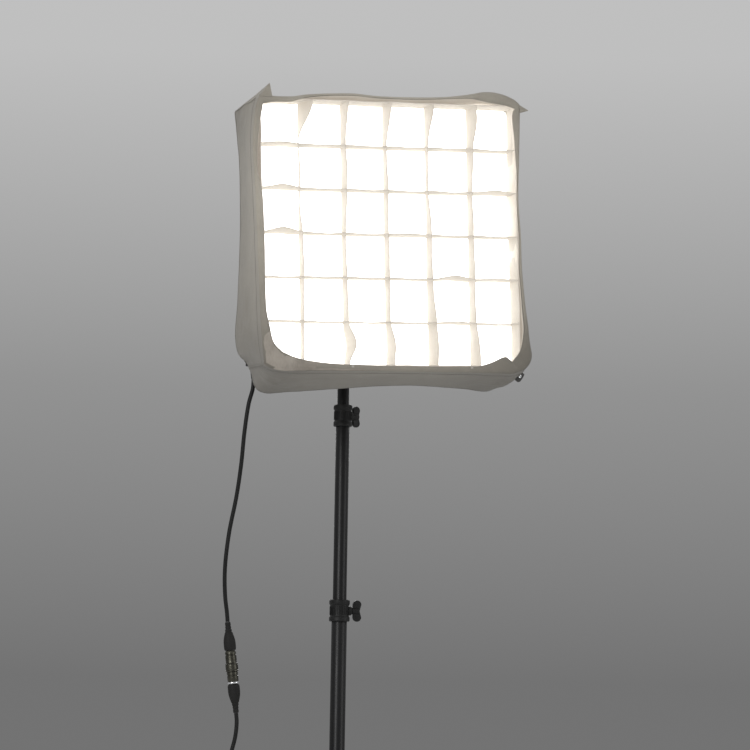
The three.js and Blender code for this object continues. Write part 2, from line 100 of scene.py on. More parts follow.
class Shader:
    """A principled material with its node tree at hand."""

    def __init__(self, name, **values):
        self.material = bpy.data.materials.new(name)
        self.material.use_nodes = True
        self.tree = self.material.node_tree
        self.surface = self.tree.nodes["Principled BSDF"]
        for socket, value in values.items():
            self.surface.inputs[socket.replace("_", " ")].default_value = value
        self.place = self.node("ShaderNodeTexCoord").outputs["Object"]

    def node(self, kind, inputs=None, **settings):
        """A new node with its inputs joined or filled in."""
        made = self.tree.nodes.new(kind)
        for name, value in settings.items():
            setattr(made, name, value)
        for name, value in (inputs or {}).items():
            if isinstance(value, bpy.types.NodeSocket):
                self.tree.links.new(value, made.inputs[name])
            else:
                made.inputs[name].default_value = value
        return made

    def link(self, output, socket):
        self.tree.links.new(output, self.surface.inputs[socket])

    def noise(self, scale, detail=3, roughness=0.5, stretch=(1, 1, 1)):
        place = self.node("ShaderNodeMapping", {"Vector": self.place, "Scale": stretch}).outputs["Vector"]
        inputs = {"Vector": place, "Scale": scale, "Detail": detail, "Roughness": roughness}
        return self.node("ShaderNodeTexNoise", inputs).outputs["Fac"]

    def math(self, operation, first, second=0.0):
        return self.node("ShaderNodeMath", {0: first, 1: second}, operation=operation).outputs[0]

    def blend(self, first, second, share):
        """The first value with the second mixed in by its share."""
        return self.math("ADD", self.math("MULTIPLY", first, 1 - share), self.math("MULTIPLY", second, share))

    def ramp(self, value, *stops):
        made = self.node("ShaderNodeValToRGB", {"Fac": value})
        elements = made.color_ramp.elements
        for element, (position, colour) in zip(elements, stops):
            element.position = position
            element.color = (*colour, 1)
        return made.outputs["Color"]

    def spread(self, value, low, high):
        inputs = {"Value": value, "To Min": low, "To Max": high}
        return self.node("ShaderNodeMapRange", inputs).outputs["Result"]

    def eased(self, value, source, target):
        """The value taken from one range to another, level at both ends."""
        inputs = {"Value": value, "From Min": source[0], "From Max": source[1]}
        inputs.update({"To Min": target[0], "To Max": target[1]})
        return self.node("ShaderNodeMapRange", inputs, interpolation_type="SMOOTHSTEP").outputs["Result"]

    def bump(self, height, strength, distance, below=None):
        inputs = {"Height": height, "Strength": strength, "Distance": distance}
        if below is not None:
            inputs["Normal"] = below
        return self.node("ShaderNodeBump", inputs).outputs["Normal"]

    def weave(self, pitch):
        """Threads over and under each other, a pitch in metres apart, on any side of a box."""
        split = self.node("ShaderNodeSeparateXYZ", {"Vector": self.place}).outputs
        waves = [self.math("SINE", self.math("MULTIPLY", split[i], 2 * math.pi / pitch)) for i in range(3)]
        return self.math("ADD", *[self.math("MULTIPLY", waves[i], waves[2]) for i in range(2)])


def woven(name, dark, light, pitch, finish=None, **values):
    """Cloth: cloudy colour, threads a pitch apart and soft creases. The finish adds to its shader."""
    shader = Shader(name, **values)
    cloud = shader.noise(14, 5, 0.62)
    thread = shader.noise(900, 2, 0.5, (1, 1, 0.12))
    shader.link(shader.ramp(shader.blend(cloud, thread, 0.2), (0.32, dark), (0.7, light)), "Base Color")
    shader.link(shader.spread(cloud, 0.62, 0.86), "Roughness")
    creases = shader.bump(shader.noise(55, 4, 0.6), 0.35, 0.002)
    shader.link(shader.bump(shader.weave(pitch), 0.5, 0.0003, creases), "Normal")
    if finish:
        finish(shader)
    return shader.material


def moulded(name, colour, rough, grain=1400, depth=0.00008, **values):
    """Moulded plastic or rubber: a fine pebbled grain, with handling marks in its gloss."""
    shader = Shader(name, **values)
    wear = shader.noise(38, 6, 0.7)
    light = tuple(min(1, 1.45 * c + 0.004) for c in colour)
    shader.link(shader.ramp(wear, (0.35, colour), (0.8, light)), "Base Color")
    shader.link(shader.spread(wear, rough[0], rough[1]), "Roughness")
    shader.link(shader.bump(shader.noise(grain, 2, 0.5), 0.4, depth), "Normal")
    return shader.material


def brushed(name, dark, light, rough, stretch, **values):
    """Metal drawn or turned along one way."""
    shader = Shader(name, Metallic=1, **values)
    lines = shader.noise(500, 3, 0.6, stretch)
    mixed = shader.blend(lines, shader.noise(30, 5, 0.6), 0.4)
    shader.link(shader.ramp(mixed, (0.3, dark), (0.72, light)), "Base Color")
    shader.link(shader.spread(mixed, rough[0], rough[1]), "Roughness")
    shader.link(shader.bump(lines, 0.12, 0.0002), "Normal")
    return shader.material


def painted(name):
    """Satin black enamel on aluminium: a faint orange peel, and fine scuffs that catch the light."""
    shader = Shader(name, Coat_Weight=0.05, Coat_Roughness=0.3, Specular_IOR_Level=0.2)
    scuffs = shader.noise(210, 8, 0.75, (1, 1, 0.08))
    stops = ((0.62, (0.007, 0.007, 0.0075)), (0.82, (0.045, 0.044, 0.042)))
    shader.link(shader.ramp(scuffs, *stops), "Base Color")
    shader.link(shader.spread(shader.noise(24, 5, 0.6), 0.26, 0.48), "Roughness")
    shader.link(shader.bump(shader.noise(700, 2, 0.5), 0.12, 0.0002), "Normal")
    return shader.material


def glowing_cloth():
    """The white diffuser, lit from behind, with a faint weave."""
    shader = Shader("diffuser_cloth", Roughness=0.9, Emission_Strength=2.6, Sheen_Weight=0.2)
    cloud = shader.noise(9, 3, 0.5)
    shader.link(shader.ramp(cloud, (0.3, (0.84, 0.83, 0.80)), (0.8, (0.90, 0.89, 0.87))), "Base Color")
    shader.link(shader.ramp(cloud, (0.2, (1.0, 0.985, 0.955)), (0.8, (1.0, 1.0, 0.99))), "Emission Color")
    shader.link(shader.bump(shader.weave(0.0007), 0.3, 0.0002), "Normal")
    return shader.material


def board_face():
    """A white flexible board, with faint lines between its cells."""
    shader = Shader("led_board", Roughness=0.55)
    cloud = shader.noise(40, 4, 0.6)
    shader.link(shader.ramp(cloud, (0.3, (0.62, 0.60, 0.52)), (0.75, (0.75, 0.73, 0.66))), "Base Color")
    shader.link(shader.bump(shader.noise(260, 3, 0.5), 0.15, 0.0004), "Normal")
    return shader.material


def painted_glow(shader):
    """Painted light on the cloth: palest at the middle of each wall, higher up and towards the hem, where
    glow through the cloth and glare are painted in, and darkest at its lower corners, painted shade.
    """
    cloth = shader.surface.inputs["Base Color"].links[0].from_socket
    split = shader.node("ShaderNodeSeparateXYZ", {"Vector": shader.place}).outputs
    rise = shader.math("SUBTRACT", split["Z"], lamp_height)
    across = shader.node("ShaderNodeCombineXYZ", {"X": split["X"], "Z": rise}).outputs["Vector"]
    reach = shader.node("ShaderNodeVectorMath", {0: across}, operation="LENGTH").outputs["Value"]
    middle = shader.eased(reach, (0.33, 0.22), (0.0, 0.44))
    upper = shader.eased(rise, (-0.24, 0.10), (0.0, 0.50))
    forward = shader.eased(split["Y"], (mast_y - 0.13, mast_y - 0.29), (0.50, 1.05))
    paler = shader.math("MULTIPLY", shader.math("ADD", middle, upper), forward)
    scale = shader.math("ADD", paler, 0.68)
    lit_cloth = shader.node("ShaderNodeVectorMath", {0: cloth, "Scale": scale}, operation="SCALE")
    shader.link(lit_cloth.outputs["Vector"], "Base Color")


# The black nylon's colour is lifted to a warm grey, which is painted glare; its finish paints light through
# the cloth on top.
NYLON = woven("black_nylon", (0.222, 0.203, 0.171), (0.288, 0.266, 0.226), 0.0009, painted_glow, Sheen_Weight=0.25,
              Sheen_Roughness=0.45, Specular_IOR_Level=0.35)
MAT_NYLON = woven("mat_nylon", (0.050, 0.048, 0.044), (0.090, 0.087, 0.080), 0.0009, Sheen_Weight=0.3,
                  Sheen_Roughness=0.45, Specular_IOR_Level=0.4)
WEBBING = woven("black_webbing", (0.030, 0.029, 0.027), (0.062, 0.060, 0.056), 0.0016, Sheen_Weight=0.2,
                Sheen_Roughness=0.5)
# Grid cloth: its faint emission is a painted glow of the diffuser's light through the strips, and its pale
# tone is partly painted light.
GRID_CLOTH = woven("grid_cloth", (0.36, 0.325, 0.275), (0.47, 0.435, 0.38), 0.0009, Sheen_Weight=0.25,
                   Sheen_Roughness=0.5, Emission_Color=(1.0, 0.92, 0.82, 1), Emission_Strength=0.20)
# Pale lining: its faint emission is a painted glow of the diffuser's light bouncing inside the walls.
LINING = woven("pale_lining", (0.55, 0.50, 0.43), (0.70, 0.66, 0.60), 0.0009, Sheen_Weight=0.1,
               Emission_Color=(1.0, 0.91, 0.80, 1), Emission_Strength=0.16)
THREAD = woven("thread", (0.10, 0.095, 0.085), (0.20, 0.19, 0.17), 0.0006)
# A darker copy of the pale lining: painted shade in the bunched cloth at the lower left corner.
SHADED_LINING = woven("shaded_lining", (0.21, 0.185, 0.155), (0.42, 0.38, 0.33), 0.0009, Sheen_Weight=0.1)
PALE_THREAD = woven("pale_thread", (0.45, 0.42, 0.38), (0.62, 0.60, 0.55), 0.0006)
DIFFUSER = glowing_cloth()
BOARD = board_face()
PAINT = painted("black_enamel")
PLASTIC = moulded("black_nylon_plastic", (0.007, 0.007, 0.007), (0.38, 0.58), Specular_IOR_Level=0.22)
RUBBER = moulded("black_rubber", (0.009, 0.0088, 0.0085), (0.55, 0.78), 900, 0.00012, Specular_IOR_Level=0.2)
LEAD_SKIN = moulded("lead_sheath", (0.006, 0.006, 0.006), (0.42, 0.60), 1500, 0.00005,
                    Specular_IOR_Level=0.18)
SPRING = brushed("spring_steel", (0.30, 0.31, 0.32), (0.52, 0.53, 0.55), (0.24, 0.42), (1, 1, 1))
SHELL = brushed("shell_metal", (0.030, 0.029, 0.023), (0.095, 0.092, 0.076), (0.26, 0.44), (1, 1, 6))
BRIGHT = brushed("bright_metal", (0.50, 0.51, 0.52), (0.74, 0.75, 0.77), (0.18, 0.34), (1, 1, 6))
CHIP = moulded("led_chip", (0.62, 0.52, 0.16), (0.3, 0.45))


# ---- Mesh helpers ----


def smooth(value, low=0.0, high=1.0):
    """From 0 at low to 1 at high, level at both."""
    t = min(1, max(0, (value - low) / (high - low)))
    return t * t * (3 - 2 * t)


def mix(a, b, t):
    """The value a share t of the way from a to b."""
    return a + (b - a) * t


def ripple(x, y, z, size, seed=0.0):
    """Smooth noise from -1 to 1 with features about that size."""
    return noise.noise(Vector((x / size + seed, y / size - seed, z / size + 2 * seed)))


def apply_modifiers(obj):
    """Bakes an object's modifiers into its mesh."""
    depsgraph = bpy.context.evaluated_depsgraph_get()
    made = bpy.data.meshes.new_from_object(obj.evaluated_get(depsgraph))
    obj.modifiers.clear()
    obj.data = made
    return obj


def soften(mesh, angle=40):
    """Smooth shading, sharp where faces meet at more than the angle in degrees."""
    for polygon in mesh.polygons:
        polygon.use_smooth = True
    mesh.set_sharp_from_angle(angle=math.radians(angle))


def mesh_object(name, points, faces, material, place=None):
    """A new object from points, which the matrix place takes to the row frame."""
    mesh = bpy.data.meshes.new(name)
    mesh.from_pydata([tuple(place @ Vector(p)) if place else tuple(p) for p in points], [], faces)
    mesh.materials.append(material)
    work = bmesh.new()
    work.from_mesh(mesh)
    bmesh.ops.remove_doubles(work, verts=work.verts, dist=1e-6)
    bmesh.ops.recalc_face_normals(work, faces=work.faces)
    work.to_mesh(mesh)
    work.free()
    obj = bpy.data.objects.new(name, mesh)
    bpy.context.scene.collection.objects.link(obj)
    return obj


def settle(obj, body, slot, *nodes, angle=40):
    """Bakes the object's modifiers, shades it, and puts it on its body in place of the nodes."""
    if obj.modifiers:
        apply_modifiers(obj)
    soften(obj.data, angle)
    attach(obj, body)
    if nodes:
        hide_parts(*nodes)
    return obj


def thicken(obj, thickness, offset=0.0):
    """Gives a sheet a thickness in millimetres."""
    made = obj.modifiers.new("thickness", "SOLIDIFY")
    made.thickness = thickness * MM
    made.offset = offset
    made.use_even_offset = False


def bevel(obj, width, segments=2):
    """Rounds the object's edges by a width in millimetres."""
    made = obj.modifiers.new("bevel", "BEVEL")
    made.width = width * MM
    made.segments = segments
    made.limit_method = "ANGLE"
    made.angle_limit = math.radians(35)
    made.harden_normals = False


def piece(name, shape, material, place, body, slot, *nodes, thick=0.0, offset=0.0, rounded=0.0, angle=40):
    """A finished piece from its points and faces, thickened or with rounded edges, in millimetres."""
    obj = mesh_object(name, *shape, material, place)
    if thick:
        thicken(obj, thick, offset)
    if rounded:
        bevel(obj, rounded)
    return settle(obj, body, slot, *nodes, angle=angle)


def head_piece(name, shape, material, slot, *nodes, **finish):
    """A piece of the light, drawn in the face frame."""
    return piece(name, shape, material, FACE, "light_head", slot, *nodes, **finish)


def grid_faces(rows, columns, wrap=False):
    """Faces of a grid of points in rows; with wrap, each row closes on itself."""
    last = columns if wrap else columns - 1
    faces = []
    for row in range(rows - 1):
        for column in range(last):
            after = (column + 1) % columns
            near = row * columns
            far = near + columns
            faces.append((near + column, near + after, far + after, far + column))
    return faces


def around(radius, turn, height=0.0):
    """A point at a radius from Z, turned about it."""
    return radius * math.cos(turn), radius * math.sin(turn), height


def lathe(outline, sides):
    """Points and faces of an outline of (radius, height), turned about Z."""
    turns = [2 * math.pi * side / sides for side in range(sides)]
    points = [around(radius, turn, height) for radius, height in outline for turn in turns]
    return points, grid_faces(len(outline), sides, wrap=True)


def combined(*parts):
    """Several (points, faces), each optionally with a matrix, as one."""
    points = []
    faces = []
    for part in parts:
        start = len(points)
        place = part[2] if len(part) > 2 else Matrix.Identity(4)
        points += [tuple(place @ Vector(p)) for p in part[0]]
        faces += [tuple(start + i for i in face) for face in part[1]]
    return points, faces


def box_points(low, high):
    """Points and faces of a box between two corners."""
    points = [(x, y, z) for x in (low[0], high[0]) for y in (low[1], high[1]) for z in (low[2], high[2])]
    faces = [(0, 1, 3, 2), (4, 6, 7, 5), (0, 4, 5, 1), (2, 3, 7, 6), (0, 2, 6, 4), (1, 5, 7, 3)]
    return points, faces


def prism(outline, low, high):
    """An outline in X and Y, run from low to high along Z."""
    count = len(outline)
    points = [(x, y, low) for x, y in outline] + [(x, y, high) for x, y in outline]
    faces = [tuple(range(count))[::-1], tuple(range(count, 2 * count))]
    faces += [(i, (i + 1) % count, count + (i + 1) % count, count + i) for i in range(count)]
    return points, faces


def turned(degrees, axis):
    """A turn about an axis."""
    return Matrix.Rotation(math.radians(degrees), 4, axis)


def along(start, end):
    """A matrix that takes Z to the way from start to end, and the origin to start."""
    way = Vector(end) - Vector(start)
    return Matrix.Translation(start) @ way.to_track_quat("Z", "Y").to_matrix().to_4x4()


def refined(node, body, slot, material, width, segments=2):
    """A CAD piece's own shape, its edges rounded by a width in millimetres and its round faces smooth."""
    source = frame["nodes"][node].data
    points = [v.co.copy() for v in source.vertices]
    faces = [tuple(p.vertices) for p in source.polygons]
    obj = mesh_object(node + "_body", points, faces, material)
    work = bmesh.new()
    work.from_mesh(obj.data)
    bmesh.ops.remove_doubles(work, verts=work.verts, dist=2e-5)
    bmesh.ops.dissolve_limit(work, angle_limit=math.radians(1), verts=work.verts, edges=work.edges)
    bmesh.ops.recalc_face_normals(work, faces=work.faces)
    work.to_mesh(obj.data)
    work.free()
    bevel(obj, width, segments)
    return settle(obj, body, slot, node, angle=35)


# ---- The lead: its route, as the solids take it ----

LEAD_RADIUS = 0.0035


def catmull(points, spacing):
    """A centripetal Catmull-Rom curve through the points, as closely spaced points."""
    knots = [Vector(p) for p in points]
    knots = [2 * knots[0] - knots[1], *knots, 2 * knots[-1] - knots[-2]]
    line = []
    for p0, p1, p2, p3 in zip(knots, knots[1:], knots[2:], knots[3:]):
        steps = max(2, math.ceil((p2 - p1).length / spacing))
        t0 = 0.0
        t1 = t0 + math.sqrt((p1 - p0).length)
        t2 = t1 + math.sqrt((p2 - p1).length)
        t3 = t2 + math.sqrt((p3 - p2).length)
        for step in range(steps):
            t = mix(t1, t2, step / steps)
            a1 = (t1 - t) / (t1 - t0) * p0 + (t - t0) / (t1 - t0) * p1
            a2 = (t2 - t) / (t2 - t1) * p1 + (t - t1) / (t2 - t1) * p2
            a3 = (t3 - t) / (t3 - t2) * p2 + (t - t2) / (t3 - t2) * p3
            b1 = (t2 - t) / (t2 - t0) * a1 + (t - t0) / (t2 - t0) * a2
            b2 = (t3 - t) / (t3 - t1) * a2 + (t - t1) / (t3 - t1) * a3
            line.append((t2 - t) / (t2 - t1) * b1 + (t - t1) / (t2 - t1) * b2)
    line.append(knots[-2])
    return line


def line_length(line):
    """The length of a line through its points."""
    return sum((b - a).length for a, b in zip(line, line[1:]))


def spots_along(line, distances):
    """The points of a line at rising distances from its start."""
    spots = []
    gone = 0.0
    index = 0
    for distance in distances:
        while index < len(line) - 2 and gone + (line[index + 1] - line[index]).length < distance:
            gone += (line[index + 1] - line[index]).length
            index += 1
        part = (line[index + 1] - line[index]).length or 1e-9
        spots.append(line[index].lerp(line[index + 1], min(1, (distance - gone) / part)))
    return spots


def tube(name, line, radius, material, sides=14):
    """A round tube along a line."""
    points = []
    across = (line[1] - line[0]).normalized().orthogonal().normalized()
    for index, centre in enumerate(line):
        way = (line[min(index + 1, len(line) - 1)] - line[max(index - 1, 0)]).normalized()
        across = (across - across.dot(way) * way).normalized()
        other = way.cross(across)
        for side in range(sides):
            turn = 2 * math.pi * side / sides
            points.append(centre + radius * (math.cos(turn) * across + math.sin(turn) * other))
    faces = grid_faces(len(line), sides, wrap=True)
    faces.append(tuple(range(sides))[::-1])
    faces.append(tuple(range(len(points) - sides, len(points))))
    return mesh_object(name, points, faces, material)


def joined(name, objects, slot, *nodes, angle=40):
    """Several objects of one material as one piece of the light."""
    mesh = bpy.data.meshes.new(name)
    shapes = []
    for obj in objects:
        shapes.append(([v.co for v in obj.data.vertices], [p.vertices for p in obj.data.polygons]))
    points, faces = combined(*shapes)
    mesh.from_pydata(points, [], faces)
    mesh.materials.append(objects[0].data.materials[0])
    made = bpy.data.objects.new(name, mesh)
    for obj in objects:
        bpy.data.objects.remove(obj)
    bpy.context.scene.collection.objects.link(made)
    return settle(made, "light_head", slot, *nodes, angle=angle)


PLUG_TOP = (-214, -65, 771)
PLUG_FOOT = (-196, -65, 618)
PANEL_ROUTE = [
    (-188, -109.5, 1183.7),
    (-189, -109.5, 1168),
    (-195.5, -109, 1142),
    (-201.5, -107, 1093),
    (-204, -99, 1040),
    (-209.2, -91, 985),
    (-219.3, -83, 920),
    (-223.3, -76, 860),
    (-220.5, -70, 815),
    (-215.6, -65.5, 786),
    (-214.1, -65, 771.4),
]
DROP_ROUTE = [
    (-195.9, -65, 617.6),
    (-194.5, -64.8, 603),
    (-196, -63, 578),
    (-203, -60, 545),
    (-209, -55, 500),
    (-213, -48, 430),
    (-213, -40, 340),
    (-210, -32, 250),
    (-206, -25, 160),
    (-203, -20, 90),
    (-202, -17, 52),
]
FLOOR_ROUTE = [
    (-202, -16.9, 51.6),
    (-202, -17.5, 36),
    (-202.6, -23, 20),
    (-203.2, -33, 9),
    (-203.2, -46, 4.3),
    (-201.3, -57, 3.6),
    (-195.2, -67.4, 3.6),
    (-186.2, -80.2, 3.6),
]
COIL_CENTRE = (-130, -75)
COIL_RADII = (35, 42, 49)
COIL_HEIGHTS = (3.6, 10.6, 17.6)
END_TIP = (-146.8, -87, 30.8)  # where the lead enters the boot of its end plug, which points along X


def coil_route():
    """Turns wound inwards, outwards and inwards again in three layers, then over the top to the plug.

    Each turn steps aside in a window that its neighbours have already left, so that none of them cross.
    """
    inner, middle, outer = COIL_RADII
    low, half, high = COIL_HEIGHTS
    aside = 45  # degrees that a step to the next place takes
    stages = [(215, outer, low), (525, outer, low)]  # wound so far in degrees, radius, height
    for wound, radius, height in (
        (885, middle, low), (1200, inner, low), (1515, inner, half), (1875, middle, half),
        (2190, outer, half), (2505, outer, high), (2850, middle, high),
    ):
        stages += [(stages[-1][0] + aside, radius, height), (wound, radius, height)]
    stages += [(2910, middle, high + 7.0), (2965, middle + 2.2, high + 7.4)]
    points = []
    for (turn_a, radius_a, height_a), (turn_b, radius_b, height_b) in zip(stages, stages[1:]):
        steps = max(2, round((turn_b - turn_a) / 6))
        for step in range(steps):
            t = step / steps
            radius = mix(radius_a, radius_b, smooth(t))
            height = mix(height_a, height_b, smooth(t))
            points.append(around(radius, math.radians(mix(turn_a, turn_b, t)), height))
    # A last curve over the turns, round to the plug
    bend = 28.5
    x_end = END_TIP[0] - COIL_CENTRE[0]
    y_end = END_TIP[1] - COIL_CENTRE[1]
    for degrees in range(112, 265, 8):
        turn = math.radians(degrees)
        rise = mix(high + 7.6, END_TIP[2], smooth(degrees, 112, 262))
        points.append((x_end + bend * math.cos(turn), y_end + bend + bend * math.sin(turn), rise))
    points += [(x_end, y_end, END_TIP[2]), (x_end + 3, y_end, END_TIP[2])]
    return [(x + COIL_CENTRE[0], y + COIL_CENTRE[1], z) for x, y, z in points]


def add_cords():
    """The lead's three stretches, each as its piece and its line."""
    cords = []
    for name, route, spacing, radius, sides in (
        ("panel_cable", PANEL_ROUTE, 0.004, LEAD_RADIUS, 14),
        ("extension_drop", DROP_ROUTE, 0.004, LEAD_RADIUS, 14),
        ("extension_coil", [*FLOOR_ROUTE, *coil_route()], 0.0045, LEAD_RADIUS - 0.00005, 12),
    ):
        line = catmull([MAST @ Vector(p) for p in route], spacing)
        cords.append((tube(name, line, radius, LEAD_SKIN, sides), line))
    (panel, panel_line), (drop, drop_line), (coil, _) = cords
    for obj, node in ((panel, "panel_lead"), (drop, "hanging_lead")):
        soften(obj.data)
        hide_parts(node)
    settle(coil, "stand_base", "black_rubber", "floor_lead", "lead_coil")
    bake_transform(panel)
    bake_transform(drop)
    return cords


(panel_cable, panel_line), (drop_cable, drop_line), (coil_cable, coil_line) = add_cords()


# ---- Softbox: closed outlines in millimetres in the face frame, seen from the front ----

# Each runs from the bottom left corner to the right, up, back along the top and down the left side.
# The cloth is slack between its corners, which the holder's arms pull out.
REAR_EDGE = (
    [(-209, -212), (-205, -221), (-201, -240), (-194, -250), (-180, -255), (-150, -253.5), (-46, -246),
     (60, -240), (130, -242), (190, -247), (213, -249), (225, -244), (230, -235)],
    [(230, -235), (233, -215), (230, -180), (226, -120), (223, 0), (223, 120), (227, 195), (228, 228)],
    [(228, 228), (190, 226), (100, 223), (0, 222), (-100, 223), (-190, 226), (-228, 227)],
    [(-228, 227), (-226, 205), (-221.5, 150), (-221, 30), (-223, -20), (-227, -97), (-231.5, -160),
     (-226, -190), (-214, -202), (-209, -212)],
)
FRONT_EDGE = (
    [(-222, -222), (-205, -230), (-120, -231), (0, -231), (120, -232), (190, -233), (212, -232), (230, -225)],
    [(230, -225), (237, -216), (241, -203), (238.5, -187), (235.5, -155), (231.5, -120), (227.5, -67),
     (226, 0), (223, 62), (226, 134), (228, 190), (229, 224)],
    [(229, 224), (220, 232), (204, 239), (178, 244), (143, 239), (115, 234.5), (69, 231), (-14, 229.7),
     (-65, 233), (-145, 228), (-171, 224), (-200, 224), (-224, 224)],
    [(-224, 224), (-230, 205), (-235, 150), (-231.5, 58), (-228, -92), (-226, -162), (-223, -200),
     (-222, -222)],
)
OPENING = (
    [(-190.5, -200.5), (-165, -210.5), (-130, -217), (-100, -220), (0, -222.5), (110, -222.5), (150, -221),
     (168, -215.5), (189, -206), (196, -204.5), (200, -209), (203, -217)],
    [(203, -217), (208, -211), (215, -203), (221, -193), (228, -162), (226.5, -127), (224.5, -90),
     (222.5, -60), (223.5, 0), (221, 62), (222.5, 100), (220.5, 134), (219, 165), (215.5, 203), (217, 211),
     (220, 217)],
    [(220, 217), (204, 221.5), (187, 224), (170, 226.5), (143, 231.5), (115, 231), (69, 228), (-14, 227),
     (-65, 230), (-130, 226), (-150, 222), (-171, 216), (-197, 215), (-218, 211)],
    [(-218, 211), (-222.8, 183), (-226, 158), (-228, 138), (-228, 95), (-224, 78), (-221, 63), (-218.5, 8),
     (-218, -33), (-218, -83), (-216.5, -133), (-212, -155), (-204, -186), (-190.5, -200.5)],
)
STEPS = 80  # points along each side of an outline

MAT_REAR = -126.5
MAT_FRONT = -132
FRONT = -295
HEM_DEPTH = 26
HEM_PROUD = 1.1
DIFFUSER_FACE = -245
GRID_FRONT = -293
GRID_BACK = -248
GRID_HALF = 222
CELLS = 6
PITCH = 2 * GRID_HALF / CELLS


def evenly(points):
    """STEPS equal steps along a smooth curve through the points given."""
    line = catmull([(x, z, 0) for x, z in points], 2.0)
    total = line_length(line)
    spots = spots_along(line, [total * step / STEPS for step in range(STEPS + 1)])
    return [Vector((spot.x, spot.y)) for spot in spots]


def outline(sides):
    """Sides with their points in equal steps."""
    return [evenly(side) for side in sides]


def square(half, corner):
    """A square outline with cut corners."""
    flat = half - corner
    cut = half - corner * (1 - math.sqrt(0.5))
    quarter = [(-cut, -cut), (-flat, -half), (0, -half), (flat, -half), (cut, -cut)]
    sides = []
    for c, s in ((1, 0), (0, 1), (-1, 0), (0, -1)):
        sides.append([(x * c - z * s, x * s + z * c) for x, z in quarter])
    return outline(sides)


def between(a, b, t):
    """An outline a share t of the way from one to another."""
    return [[p.lerp(q, t) for p, q in zip(side_a, side_b)] for side_a, side_b in zip(a, b)]


def scaled(sides, factor):
    """An outline drawn in or out from its middle."""
    return [[point * factor for point in side] for side in sides]


def closed(sides):
    """Four sides as one closed loop of points."""
    return [point for side in sides for point in side[:-1]]


def patch(sides, rows):
    """A panel's points inside four sides, as a square grid of rows."""
    bottom, right, top, left = sides
    count = len(bottom) - 1
    top = top[::-1]
    left = left[::-1]
    chosen = [round(count * row / rows) for row in range(rows + 1)]
    grid = []
    for j in chosen:
        b = j / count
        for i in chosen:
            a = i / count
            edges = (1 - b) * bottom[i] + b * top[i] + (1 - a) * left[j] + a * right[j]
            corners = (1 - a) * (1 - b) * bottom[0] + a * (1 - b) * bottom[-1]
            corners = corners + (1 - a) * b * top[0] + a * b * top[-1]
            grid.append(edges - corners)
    return grid


rear_edge = outline(REAR_EDGE)
front_edge = outline(FRONT_EDGE)
opening = outline(OPENING)
mat_edge = outline([[(x * 0.986, max(z * 0.986, -225.5 + 2.5 * (1 - abs(x) / 230))) for x, z in side]
                    for side in REAR_EDGE])


def crease(x, y, z, depth):
    """How far the cloth stands proud at a point: soft folds, sharper near the corners."""
    corner = smooth(max(0, abs(x) + abs(z) - 300) / 130)
    broad = 2.3 * ripple(x, y, z, 62, 3.1)
    fine = 0.8 * ripple(x, 1.6 * y, z, 21, 7.7)
    pulled = 2.6 * corner * ripple(1.5 * x, 0.5 * y, 1.5 * z, 24, 11.3)
    return depth * (broad + fine + pulled)


def outward(loop, index):
    """The way out of a closed outline at a point."""
    before = loop[index - 1]
    after = loop[(index + 1) % len(loop)]
    way = (after - before).normalized()
    return Vector((way.y, -way.x))


def skirt_row(t):
    """The walls' outline at a share of their depth from the mat, with how deep it folds there."""
    y = mix(-127.5, FRONT + 2, t)
    loop = closed(between(rear_edge, front_edge, 0.35 * smooth(t) + 0.65 * t))
    # The lower right corner is blown out half way along
    blown = Vector((5.5, -5.5)) * math.sin(math.pi * t)
    for index in range(STEPS - 20, STEPS + 21):
        loop[index] = loop[index] + blown * math.exp(-((index - STEPS) / 8) ** 2)
    return loop, y, 0.25 + 0.75 * math.sin(math.pi * min(1, 1.15 * t)) if t < 0.87 else 0.3


def on_skirt(t, index, proud=0.0):
    """A point on the walls' outer face."""
    loop, y, depth = skirt_row(t)
    spot = loop[index % len(loop)]
    out = outward(loop, index % len(loop))
    hem = HEM_PROUD if FRONT < y < FRONT + HEM_DEPTH else 0.0
    proud += crease(spot.x, y, spot.y, depth) + hem
    return Vector((spot.x + out.x * proud, y, spot.y + out.y * proud))


def add_skirt():
    """The four walls in one cloth, from the lip behind the mat to the hem folded into the opening."""
    lip = scaled(mat_edge, 0.955)
    rows = []
    for share, y in ((0.0, -125.2), (0.05, -124.0), (0.3, -123.2), (0.75, -123.2), (0.95, -124.6)):
        rows.append((closed(between(lip, rear_edge, share)), y, 0.1))
    count = 30
    rows += [skirt_row(step / count) for step in range(count + 1)]
    for share, ahead in ((0.0, 0.6), (0.1, -1.1), (0.5, -1.9), (0.9, -1.2), (1.0, 0.6)):
        rows.append((closed(between(front_edge, opening, share)), FRONT + ahead, 0.2))
    rows.append((closed(between(front_edge, opening, 0.9)), FRONT + 3.5, 0.1))
    points = []
    for loop, y, depth in rows:
        hem = HEM_PROUD if FRONT < y < FRONT + HEM_DEPTH else 0.0
        for index, spot in enumerate(loop):
            out = outward(loop, index)
            proud = crease(spot.x, y, spot.y, depth) + hem
            # The hem is bunched where it turns the lower left corner
            bunched = smooth(-(spot.x + spot.y), 300, 420) if y < FRONT + 1 else 0.0
            pinch = 2.6 * bunched * ripple(1.4 * spot.x, 0, 1.4 * spot.y, 15, 6.3)
            points.append((spot.x + out.x * proud, y + pinch, spot.y + out.y * proud))
    shape = points, grid_faces(len(rows), 4 * STEPS, wrap=True)
    walls = "left_wall", "right_wall", "top_wall", "bottom_wall", "front_rim"
    return head_piece("softbox_skirt", shape, NYLON, "black_fabric", *walls, thick=1.1, offset=-1.0, angle=75)


